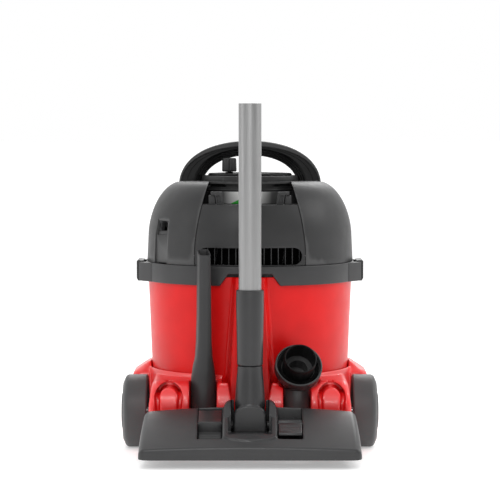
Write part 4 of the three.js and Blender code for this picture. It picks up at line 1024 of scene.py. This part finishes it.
def castors():
    x, y, r, half, trail, fork, pin = CASTOR_X, CASTOR_Y, 21, 9, 13, 3.5, 2.4
    gap, crown = half + 1, 46
    arm = filleted([(8, crown + 2), (-10, crown + 2), (-trail - 6.5, r - 3), (-trail, r - 7),
                    (-trail + 6.5, r - 3)],
                   [1, 4, 5, 5, 5], steps=6)
    arms = [prism(arm, a, b, "X") for a, b in ((gap, gap + fork), (-gap - fork, -gap))]
    crown_profile = filleted([(0, crown), (16, crown), (16, crown + 3.5), (12, crown + 5), (5, crown + 5.5),
                              (5, 90), (0, 90)],
                             [0, 0.8, 1, 1, 0.6, 1, 0], closed=False)
    body = join(turned(crown_profile, FINE),
                block(-gap - fork, gap + fork, -10, 8, crown - 1, crown + 3.6, 2), *arms)
    body = bevelled(cut(body, rod_x(pin + 0.3, -30, 30, -trail, r)), 0.7)
    bore = pin + 0.4
    tyre = filleted([(bore, -half), (5, -half), (6, -half + 1.6), (12, -half + 1.6), (13, -half),
                     (r - 2.4, -half),
                     (r, -half + 2.6), (r, half - 2.6), (r - 2.4, half), (13, half), (12, half - 1.6),
                     (6, half - 1.6),
                     (5, half), (bore, half)], [0.3, 0.6, 0.6, 0.6, 0.6, 2, 2, 2, 2, 0.6, 0.6, 0.6, 0.6, 0.3])
    roller = turned(tyre, FINE, moved_to(0, -trail, r) @ ALONG_X)
    for label, side in (("left", -1), ("right", 1)):
        for source, name, material, node in (
            (body, "castor_fork_body_", BLACK, "castor_fork_"),
            (roller, "castor_roller_", WHEEL_GREY, "castor_wheel_"),
        ):
            obj = source.copy()
            obj.data = source.data.copy()
            obj.data.transform(Matrix.Translation((side * x * MM, y * MM, 0)))
            bpy.context.scene.collection.objects.link(obj)
            piece(name + label, obj, material, node + label)
        kept("castor_pin_" + label, STEEL, 0.3)
    for source in (body, roller):
        bpy.data.objects.remove(source)


# ---- Docked floor tool and tube -------------------------------------------------------------------
WAND = Box("wand_tube")


def tube_and_cuff():
    x, y = WAND.x, WAND.y
    r = (WAND.x1 - WAND.x0) / 2
    place = moved_to(x, y, 0)
    profile = [(r - 1.2, WAND.z0), (r, WAND.z0), (r, WAND.z1), (r - 1.2, WAND.z1)]
    piece("extension_tube", turned(filleted(profile, 0.5, steps=4), FINE, place), TUBE_METAL, "wand_tube")
    cuff = Box("tool_socket")
    outer, low, top = cuff.x1, cuff.z0, cuff.z1
    bore = r + 0.4
    profile = [(13, low + 3), (17.6, low), (18.2, low + 3), (18.5, low + 30), (outer, top - 26),
               (outer, top - 1.5),
               (outer - 1.2, top), (bore, top), (bore, WAND.z0 - 1), (13, WAND.z0 - 2)]
    body = turned(filleted(profile, [0.4, 0.8, 1, 30, 18, 0.6, 0.6, 0.3, 0.3, 0.3]), FINE, place)
    piece("tool_cuff_sleeve", body, SATIN, "tool_socket")


def tool_elbow():
    elbow = Box("tool_elbow")
    y = WAND.y
    top = elbow.z1
    half = 23
    pipe = turned([(0, 54), (20, 54), (21.5, 80), (20.6, 94), (19.2, 110), (18.0, 124), (17.5, top),
                   (0, top)], FINE,
                  moved_to(0, y, 0))
    arch = [(-half, 40)] + [(half, 40)] + arc(0, 64, half, 0, 180, 24, ry=15.4)
    block_body = prism(arch, y - 22, y + 0.4, "Y")
    barrel = rod_x(15, 0.6 - half, half - 0.6, y - 8, 50.2, FINE)
    tongue = [block(-4.6, 4.6, y + 14, y + 34, 97.4, 120.6, 1),
              block(-9.4, 9.4, y + 30.4, y + 34.6, 97, 121, 1)]
    inner = half - 1.5
    plate = prism([(-inner, 40.6), (inner, 40.6)] + arc(0, 63.6, inner, 0, 180, 24, ry=14), y - 23.6,
                  y - 18.3, "Y")
    body = join(pipe, block_body, barrel, plate, *tongue, rod_x(6, -27.5, 27.5, y - 8, 49.8))
    body = cut(body, rod(12.5, 62, 200, FINE, moved_to(0, y, 0)), rod_x(11, -10, 10, y - 8, 52),
               block(-8.6, 8.6, y - 16, y + 1.3, 20, 57.7))
    piece("tool_neck_elbow", moulded(body, 0.8, 2, 0.6), SATIN, "tool_elbow", angle=50)


TOOL_HALF, TOOL_REAR_HALF = 154.5, 148.5
TOOL_FRONT, TOOL_REAR = -325, -214


def tool_section(drop, inset):
    """Side profile, in (y, z), of the cover; drop lowers its crown and inset shrinks it all round."""
    front, rear = TOOL_FRONT + inset, TOOL_REAR - inset
    floor = 9.8
    edge = 32 - inset - drop * 0.6
    nose = [(front, floor), (front, edge - 6.5)]
    lip = bezier((front, edge - 5.5), (front, edge - 2.4), (front + 1.2, edge - 1.2), (front + 4, edge), 8)
    crown = 74 - inset - drop
    back = bezier((front + 4, edge), (-300, edge + 12.6 - drop * 0.1), (-257, crown - 7), (-230, crown), 32)
    tail = bezier((-230, crown), (-221, crown + 0.3), (rear, crown - 1.5), (rear, crown - 9), 8)
    return nose + lip + back[1:] + tail[1:] + [(rear, floor)]


def tool_skin(inset, ends=9):
    """The cover from end to end: the crown falls towards both ends, rounded in plan and in height."""
    stations = [(math.cos(math.radians(a)), math.sin(math.radians(a))) for a in range(0, 91, 9)]
    half = TOOL_HALF - inset
    left = [(-half + ends * (1 - s_c), inset + ends * (1 - s_s)) for s_c, s_s in stations]
    middle = [-half + ends + (2 * (half - ends)) * k / 40 for k in range(1, 40)]
    places = left + [(x, inset) for x in middle] + [(-x, i) for x, i in left[::-1]]
    rings = []
    for x, i in places:
        share = abs(x) / TOOL_HALF
        rings.append([(x, y, z) for y, z in tool_section(7 * share**2, i)])
    skin = loft(rings)
    taper = TOOL_HALF - TOOL_REAR_HALF
    for vertex in skin.data.vertices:
        back = (vertex.co.y / MM - AXIS_Y / MM - TOOL_FRONT) / (TOOL_REAR - TOOL_FRONT)
        vertex.co.x *= 1 - taper / TOOL_HALF * min(max(back, 0), 1)
    return skin


def floor_tool():
    x0, x1, front, rear = PEDAL_INNER, PEDAL_OUTER, -306, -228
    outer = tool_skin(0)
    frame_walls = both_sides(common(tool_skin(0.6), block(x0 - 2.4, x1 + 2.4, front - 2, rear + 2, 28, 95)))
    inner = tool_skin(3)
    inner.data.transform(Matrix.Translation((0, 0, -0.001)))
    cheeks = both_sides(*[
        common(tool_skin(0.7), block(x - 1.2, x + 1.2, -234, -220, 18, 90))
        for x in (91, 109)
    ])
    hump = filleted([(-315, 30), (-315, 37.5), (-312, 40), (-299, 46), (-264, 64), (-251, 77), (-240, 84),
                     (-226, 84.6), (-217, 78), (-217, 30)], [0, 1.5, 2, 4, 10, 8, 6, 6, 3, 0], steps=6)
    bezel = prism(hump, -36.5, 36.5, "X")
    ear_shape = [(-36.5, 28), (36.5, 28)]
    ear_shape += arc(24.5, 73, 12, 0, 90, 10, ry=12)
    ear_shape += arc(-24.5, 73, 12, 90, 180, 10, ry=12)
    bezel = common(bezel, prism(ear_shape, -330, -200, "Y"))
    bow = prism(filleted([(-40, -200), (40, -200), (40, -304), (30, -310), (0, -314.6), (-30, -310),
                          (-40, -304)], 6),
                20, 100)
    bezel = common(bezel, bow)
    bezel = cut(bezel, block(-31, 31, -306, -221, 10, 35))
    body = join(cut(outer, inner), bezel, *frame_walls, *cheeks)
    step = prism([(-299.6, 43.6), (-299.6, 70), (-261, 100), (-261, 42.4)], -30, 30, "X")
    tools = [
        block(-26.5, 26.5, -262, -226, 33.5, 95), block(-22.2, 22.2, -227, -213, 40, 95), step,
        block(-12, 12, -252, -230, 20, 40), block(-200, 200, -340, -200, 0, 12.4),
        rod_x(6.4, -28, 28, -236, 50),
        *both_sides(block(x0, x1, front, rear, 14, 95, 0.8), rod_x(2.5, x0 - 6, x1 + 6, PEDAL_Y, PEDAL_Z),
                    rod_x(2.4, 88, 112, -227, 21)),
    ]
    body = cut(body, *tools)
    piece("floor_tool_cover", moulded(body, 1.0, 2, 0.5), SATIN, "floor_tool_housing", angle=50)
    kept("floor_tool_sole", SHADED_SOLE_STEEL, 0.4)


def pedals():
    for label, side in (("left", -1), ("right", 1)):
        inner, outer = PEDAL_INNER, PEDAL_OUTER
        half = (outer - inner) / 2 - 1.2
        toe, root = (-23, -10) if side < 0 else (-15, 1)
        profile = [(-31, toe - 4), (-31, toe), (-6, root), (-5, 4.7), (5, 5.5), (31, 9.5), (31, 5.5),
                   (5, 0), (0, -4),
                   (-5, min(-3, root - 4))]
        body = prism(filleted(profile, [1, 1.2, 0.6, 1.2, 3, 1.2, 1, 1, 1, 1]), -half, half, "X")
        slope = (toe - root) / 25
        ribs = [
            rod_x(0.5, -half + 3, half - 3, -12 - 4 * k, root - (6 + 4 * k) * -slope, 12)
            for k in range(4)
        ]
        body = join(bevelled(body, 0.5), rod_x(2.2, -half - 3, half + 3, 0, 0), *ribs)
        turn = Matrix.Rotation(math.radians(-side * 12), 4, "X")
        to_axis = Matrix.Translation((0, -AXIS_Y, 0))
        place = Matrix.Translation((side * (inner + outer) / 2 * MM, AXIS_Y - 0.266, 0.055)) @ turn @ to_axis
        body.data.transform(place)
        piece("pedal_rocker_" + label, body, SATIN, "pedal_" + label)


def tool_rollers():
    r, half, pin = 9, 7, 2
    tread = filleted([(0, -half), (r - 0.9, -half), (r, -half + 1), (r, half - 1), (r - 0.9, half),
                      (0, half)],
                     [0, 0.5, 0.5, 0.5, 0.5, 0], closed=False)
    roller = join(turned(tread, FINE), rod(pin, -half - 3, half + 3))
    to_axis = Matrix.Translation((0, -AXIS_Y, 0))
    roller.data.transform(Matrix.Translation((0.1, AXIS_Y - 0.227, 0.021)) @ ALONG_X @ to_axis)
    twin = mirrored(roller)
    piece("tool_roller_right", roller, WHEEL_GREY, "tool_wheel_right")
    piece("tool_roller_left", twin, WHEEL_GREY, "tool_wheel_left")


def bristle_strips():
    """Two holders with rows of tufts, joined by cross bars."""
    box = Box("bristle_carriage")
    low = box.z0
    bm = bmesh.new()

    def add_box(x0, x1, y0, y1, z0, z1):
        verts = bmesh.ops.create_cube(bm, size=1)["verts"]
        size = Matrix.Diagonal((x1 - x0, y1 - y0, z1 - z0, 1))
        bm_place = moved_to((x0 + x1) / 2, (y0 + y1) / 2, (z0 + z1) / 2) @ size
        bmesh.ops.transform(bm, matrix=bm_place, verts=verts)

    for y0 in (box.y0, box.y1 - 5):
        add_box(-137, 137, y0, y0 + 5, low + 7, low + 11.5)
        for i in range(90):
            x = -134.5 + 269 * i / 89
            for row in (1.6, 3.4):
                lean = 0.5 * math.sin(i * 2.4 + row)
                verts = bmesh.ops.create_cone(bm, segments=6, radius1=0.95, radius2=0.8, depth=7.4,
                                              cap_ends=True)["verts"]
                tilt = moved_to(x, y0 + row, low + 3.8) @ Matrix.Rotation(math.radians(4 * lean), 4, "Y")
                bmesh.ops.transform(bm, matrix=tilt, verts=verts)
    for side in (-1, 1):
        add_box(side * 128 - 6, side * 128 + 6, box.y0, box.y1, low + 8.5, low + 12.5)
    piece("bristle_strips", shaped(bm), BLACK, "bristle_carriage")


# ---- Hand tools -----------------------------------------------------------------------------------
def squircle(half_x, half_y, z, power, shift_y=0.0, steps=64):
    """A level of points on a squared ellipse: power 2 is an ellipse, higher is squarer."""
    ring = []
    for i in range(steps):
        c, s = math.cos(2 * math.pi * i / steps), math.sin(2 * math.pi * i / steps)
        scale = (abs(c) ** power + abs(s) ** power) ** (-1 / power)
        ring.append((half_x * c * scale, half_y * s * scale + shift_y, z))
    return ring


def crevice_tool():
    tip = Box("crevice_tool").z1 - 0.8
    # height, half width, half depth, squareness, shift
    keys = [(50, 18.3, 18.3, 2, 0), (106, 17.9, 17.9, 2, 0), (122, 15.8, 17.4, 2.3, -1.6),
            (140, 12.2, 16.6, 2.8, -4.2),
            (165, 10.6, 16.2, 3.6, -5.6), (210, 9.6, 15.8, 4.6, -6.5), (tip + 8, 8.7, 15.3, 5.5, -7)]

    def level(z, inset):
        for (z0, *a), (z1, *b) in zip(keys, keys[1:]):
            if z <= z1:
                t = (z - z0) / (z1 - z0)
                t = t * t * (3 - 2 * t)
                hx, hy, power, shift = (p + (q - p) * t for p, q in zip(a, b))
                return squircle(hx - inset, hy - inset, z, power, shift)

    heights = [50, 50.8] + [56 + 6 * k for k in range(40)] + [tip + 7]
    outer = loft([level(max(z, 50), 0.8 if z == 50 else 0) for z in heights])
    inner = loft([level(z, 1.8) if z > 50 else [(x, y, 48) for x, y, _ in level(50, 1.8)] for z in heights])
    inner.data.transform(Matrix.Translation((0, 0, 0.0005)))
    slant = block(-40, 40, -60, 60, 0, 60)
    to_axis = Matrix.Translation((0, -AXIS_Y, 0))
    tilt = Matrix.Rotation(math.radians(14), 4, "X")
    slant.data.transform(Matrix.Translation((0, AXIS_Y, (tip - 5) * MM)) @ tilt @ to_axis)
    body = bevelled(cut(outer, inner, slant), 0.35, 2, 50)
    turn = Matrix.Rotation(math.radians(8), 4, "Z")
    body.data.transform(Matrix.Translation((-0.067, AXIS_Y - 0.16, 0)) @ turn @ to_axis)
    piece("crevice_nozzle_body", body, CHARCOAL, "crevice_tool", angle=40)


def dusting_nozzle():
    x, y, r, low, cup = POCKET_X, POCKET_Y, 18.6, 50, 34
    place = cup_place(x, y)
    bulb = turned(filleted([(0, -14), (12, -12), (20, -6), (30, 2), (cup, 12), (cup, 24.6), (cup - 1, 25.6),
                            (0, 25.6)],
                           [0, 6, 6, 8, 8, 0.6, 0.4, 0], closed=False, steps=6), FINE, place)
    stem = turned([(0, low), (r - 0.8, low), (r, low + 0.8), (r, 106), (r - 0.7, 110), (r - 3, 115),
                   (r - 8, 119), (0, 120)],
                  FINE, moved_to(x, y, 0))
    body = join(stem, bulb)
    body = cut(body, rod(cup - 2.2, 14, 40, FINE, place), rod(14, -6, 20, FINE, place),
               rod(r - 2.4, low - 2, 98, FINE, moved_to(x, y, 0)), rod(12, 90, 116, FINE, moved_to(x, y, 0)))
    piece("dusting_nozzle_body", bevelled(body, 0.5, 2, 50), SATIN, "dusting_nozzle", angle=40)
    sleeve = turned(filleted([(21, 14.6), (23, 14.6), (23, 44.4), (22.4, 45), (21.4, 45), (21, 44.4)], 0.3),
                    FINE, place)
    piece("dusting_inner_sleeve", sleeve, BLACK, "dusting_sleeve")
    bm = bmesh.new()
    count = 72
    for k, row in enumerate((25.2, 27.1, 29.0)):
        for i in range(count):
            angle = 2 * math.pi * (i + k / 2) / count
            lean = 0.06 * math.sin(i * 2.4 + row)
            verts = bmesh.ops.create_cone(bm, segments=6, radius1=0.9, radius2=0.6, depth=6,
                                          cap_ends=True)["verts"]
            spot = moved_to(row * math.cos(angle), row * math.sin(angle), 18.3)
            spot = spot @ Matrix.Rotation(lean, 4, "X")
            bmesh.ops.transform(bm, matrix=place @ spot, verts=verts)
    holder = turned([(24, 14.6), (30.1, 14.6), (30.1, 16.5), (24, 16.5)], FINE, place)
    tufts = shaped(bm)
    bristles = merged(tufts, holder)
    piece("dusting_bristle_ring", bristles, BLACK, "dusting_bristles")


def merged(first, second):
    """One object holding both meshes."""
    bm = bmesh.new()
    bm.from_mesh(first.data)
    bm.from_mesh(second.data)
    bm.to_mesh(first.data)
    bm.free()
    bpy.data.objects.remove(second)
    return first


# ---- Inside ---------------------------------------------------------------------------------------
def ripple(angle, count, phase):
    return math.sin(count * angle + phase)


def dust_bag():
    """The filled bag: a soft swollen body with creases and a card collar on the inlet."""
    rings = []
    profile = filleted([(0, 71), (92, 71), (118, 80), (122, 112), (99, 138), (40, 146), (0, 146)],
                       [0, 20, 24, 30, 30, 20, 0], closed=False, steps=8)
    for r, z in profile[1:-1]:
        ring = []
        for i in range(180):
            angle = 2 * math.pi * i / 180
            crease = ripple(angle, 9, z * 0.06) + 0.6 * ripple(angle, 17, 1 + z * 0.09)
            crease += 0.4 * ripple(angle, 31, z * 0.2)
            soft = min(1, r / 60) * min(1, (146.5 - z) / 12)
            radius = r - 1.6 * soft - 0.9 * crease * soft
            ring.append((radius * math.cos(angle), radius * math.sin(angle),
                         z - 0.5 * crease * min(1, (z - 71) / 20)))
        rings.append(ring)
    bag = loft(rings)
    place = moved_to(0, 0, INLET.z) @ ALONG_Y
    collar = tube(23.4, 34, 114, 118, FINE, place)
    neck = tube(23.4, 28.6, 98, 116, FINE, place, edge=1.5)
    throat = loft([squircle(25.6, 10.6, 128, 2, 105), squircle(25, 10.2, 148, 2, 105),
                   squircle(24, 9.8, 167, 2, 105)])
    bag = cut(join(bag, throat, neck, collar), rod_y(23.4, 94, 130, 0, INLET.z, FINE))
    piece("filled_dust_bag", moulded(bag, 1.8, 2, 0.7), FELT, "dust_bag", angle=60)


def filter_cone():
    """Pleated cloth filter on a flat rim, with its rubber seal."""
    outline = filleted([(0, 160), (78, 160), (84, 164), (92, 214), (134, 250), (138.6, 252.4)],
                       [0, 4, 6, 10, 6, 0], closed=False, steps=6)
    back = filleted([(138.6, 256.4), (132, 256.4), (131, 252.4), (88.6, 216.4), (80.4, 166.8), (76.5, 163),
                     (0, 163)],
                    [0, 1, 4, 10, 6, 4, 0], closed=False, steps=6)
    rings = []
    for r, z in outline[1:] + back[:-1]:
        ring = []
        for i in range(288):
            angle = 2 * math.pi * i / 288
            depth = 0.8 * min(1, max(0, (r - 78) / 8)) * (1 if z < 248 else 0)
            radius = r - depth * (1 + ripple(angle, 48, 0)) / 2
            ring.append((radius * math.cos(angle), radius * math.sin(angle), z))
        rings.append(ring)
    piece("pleated_filter", loft(rings), FELT, "filter_cloth", angle=60)
    seal = Box("filter_seal")
    lip = filleted([(seal.x1 - 10.8, seal.z0), (seal.x1, seal.z0), (seal.x1, seal.z1), (seal.x1 - 4, seal.z1),
                    (seal.x1 - 5, seal.z1 - 1), (seal.x1 - 7, seal.z1 - 1), (seal.x1 - 8, seal.z1),
                    (seal.x1 - 10.8, seal.z1)], 0.4, steps=3)
    piece("filter_gasket", turned(lip, ROUND), RUBBER, "filter_seal")


def inner_round(name, node, profile, material, radius=0.6):
    piece(name, turned(filleted(profile, radius, steps=3), ROUND), material, node)


def motor_and_winder():
    low, top = 226, 330
    inner_round("motor_bowl", "motor_cradle", [
        (34, low - 6), (79, low - 6), (79, 252.6), (127, 252.6), (127, 256.8), (75.5, 256.8),
        (75.5, low - 2.5), (34, low - 2.5),
    ], GRAPHITE)
    inner_round("motor_gasket", "motor_seal", [(36, 224), (66, 224), (66, 225.6), (36, 225.6)], RUBBER, 0.3)
    inner_round("motor_casing", "motor_can", [
        (9, 268), (56, 268), (56, top - 12), (26, top - 4), (26, top), (9, top), (9, top - 6), (16, top - 14),
        (42, top - 16), (42, 272), (9, 272),
    ], STEEL)
    inner_round("fan_casing", "fan_cover", [
        (32, low), (68, low), (68, 267), (11, 267), (11, 264), (65, 264), (65, low + 3), (32, low + 3),
    ], STEEL)
    inner_round("cable_spool", "cable_drum", [
        (8, 342), (61, 342), (61, 344.5), (28, 344.5), (28, 383.5), (61, 383.5), (61, 386), (8, 386),
    ], GRAPHITE)
    inner_round("slip_contacts", "contact_plate", [(6, 334), (52, 334), (52, 338), (6, 338)], BLACK, 0.3)
    turns = [(28.4, 345)]
    for i in range(5):
        turns += [
            (51.6 + 3.4 * math.sin(math.radians(15 + 25 * k)), 345 + 7.6 * (i + k / 6))
            for k in range(7)
        ]
    turns += [(28.4, 383)]
    piece("wound_cable", turned(turns, ROUND), RUBBER, "mains_cable")
    kept("rotor_shaft", COPPER, 0.3)
    kept("fan_impeller", STEEL, 0.3)
    kept("exhaust_foam", FOAM, 1.5)
    kept("wand_bracket", GRAPHITE, 0.6)


def label_material():
    """A printed plate: silvery and paler in the middle, dark grey towards the sides, which is a painted
    highlight; with a green point low on it and no lettering.
    """
    material, node = shader("label_print_and_painted_highlight", (0.7, 0.72, 0.7), 0.3, coat=0.3)
    source = add_node(material, "ShaderNodeTexCoord")
    split = add_node(material, "ShaderNodeSeparateXYZ")
    link(material, source.outputs["Object"], split.inputs["Vector"])

    def math_node(operation, *values):
        made = add_node(material, "ShaderNodeMath", operation=operation)
        for socket, value in zip(made.inputs, values):
            if isinstance(value, (int, float)):
                socket.default_value = value
            else:
                link(material, value, socket)
        return made.outputs["Value"]

    x, z = split.outputs["X"], split.outputs["Z"]
    # Painted highlight: the curved plate is pale across the middle and falls to dark grey towards its sides.
    aside = math_node("ABSOLUTE", math_node("ADD", x, 0.004))
    highlit_silver = mixed(material, remapped(material, aside, 0, 1, 0.012, 0.036), (0.75, 0.75, 0.74),
                   (0.07, 0.07, 0.07))
    tilt = math_node("MULTIPLY_ADD", math_node("ABSOLUTE", math_node("ADD", x, 0.009)), 0.5, z)
    green = remapped(material, tilt, 1, 0, 0.3650, 0.3656)
    print_color = mixed(material, green, highlit_silver, (0.03, 0.36, 0.04))
    link(material, print_color, node.inputs["Base Color"])
    grain = add_node(material, "ShaderNodeBump", Strength=0.05, Distance=0.0002)
    link(material, noise(material, 1500, 1), grain.inputs["Height"])
    link(material, grain.outputs["Normal"], node.inputs["Normal"])
    return material


LABEL = label_material()


def label_plate():
    plate = Box("label_plate")
    body = common(tube(79.4, 81.2, plate.z0, plate.z1, ROUND, edge=0.5),
                  prism([(-38, 350), (-42, 374), (42, 374), (38, 350)], -100, -60, "Y"))
    piece("label_panel", body, LABEL, "label_plate")


# ---- Studio ---------------------------------------------------------------------------------------
def studio():
    scene = bpy.context.scene
    scene.view_settings.view_transform = "Standard"
    world = bpy.data.worlds.new("white_studio")
    world.use_nodes = True
    nodes, wire = world.node_tree.nodes, world.node_tree.links.new
    background = nodes["Background"]
    background.inputs["Color"].default_value = (1, 1, 1, 1)
    # White to the camera; for light and reflections dim on the camera's side and bright behind and above.
    direction = nodes.new("ShaderNodeTexCoord")
    aim = nodes.new("ShaderNodeVectorMath")
    aim.operation = "DOT_PRODUCT"
    aim.inputs[1].default_value = (0, 0.8, 0.6)
    depth = nodes.new("ShaderNodeMapRange")
    for key, value in (("From Min", -0.7), ("From Max", 0.9), ("To Min", 0.2), ("To Max", 1.2)):
        depth.inputs[key].default_value = value
    seen = nodes.new("ShaderNodeLightPath")
    choice = nodes.new("ShaderNodeMix")
    choice.inputs["B"].default_value = 1.0
    wire(direction.outputs["Generated"], aim.inputs[0])
    wire(aim.outputs["Value"], depth.inputs["Value"])
    wire(depth.outputs["Result"], choice.inputs["A"])
    wire(seen.outputs["Is Camera Ray"], choice.inputs["Factor"])
    wire(choice.outputs["Result"], background.inputs["Strength"])
    scene.world = world
    bm = bmesh.new()
    bmesh.ops.create_grid(bm, x_segments=1, y_segments=1, size=60)
    mesh = bpy.data.meshes.new("floor")
    bm.to_mesh(mesh)
    bm.free()
    floor = bpy.data.objects.new("studio_floor", mesh)
    scene.collection.objects.link(floor)
    floor.location.z = -0.0003
    material, node = shader("floor_paint", (0.9, 0.9, 0.9), 0.8)
    node.inputs["Emission Color"].default_value = (1, 1, 1, 1)
    node.inputs["Emission Strength"].default_value = 0.35
    floor.data.materials.append(material)

    def area(name, place, target, size, power):
        data = bpy.data.lights.new(name, "AREA")
        data.shape = "RECTANGLE"
        data.size, data.size_y = size
        data.energy = power
        lamp = bpy.data.objects.new(name, data)
        lamp.location = place
        lamp.rotation_euler = (Vector(target) - Vector(place)).to_track_quat("-Z", "Y").to_euler()
        scene.collection.objects.link(lamp)

    area("key_light", (-0.6, -2.9, 2.3), (0, 0.05, 0.25), (0.9, 0.9), 26)
    area("strip_light", (0.12, -3.6, 1.25), (0, 0, 0.2), (0.25, 0.8), 13)
    area("right_light", (1.9, 0.0, 1.35), (0, 0.07, 0.3), (0.45, 0.45), 9)
    area("left_light", (-2.1, -0.4, 0.9), (0, 0.07, 0.2), (0.5, 1.2), 4.5)
    area("back_light", (0.3, 2.6, 2.0), (0, 0.1, 0.25), (2.0, 1.2), 34)

    data = bpy.data.cameras.new("camera")
    camera = bpy.data.objects.new("camera", data)
    focal_px, eye_z, horizon_px = 2320, 470.8, 125
    data.sensor_width = 36
    data.lens = 36 * focal_px / 500
    pitch = math.atan(horizon_px / focal_px)
    camera.location = (0, AXIS_Y - 3.48, eye_z * MM)
    camera.rotation_euler = (math.pi / 2 - pitch, 0, 0)
    scene.collection.objects.link(camera)
    scene.camera = camera


for build in (
    head_shell, rear_panel, head_ring, exhaust_grille, top_cap, recess_fittings, label_plate, carry_handle,
    winder,
    cable_outlet, rocker_switch, latches, tub_shell, hose_inlet, chassis_shell, rear_wheels, castors,
    tube_and_cuff,
    tool_elbow, floor_tool, pedals, tool_rollers, bristle_strips, crevice_tool, dusting_nozzle, dust_bag,
    filter_cone,
    motor_and_winder, studio,
):
    build()

bpy.context.view_layer.update()
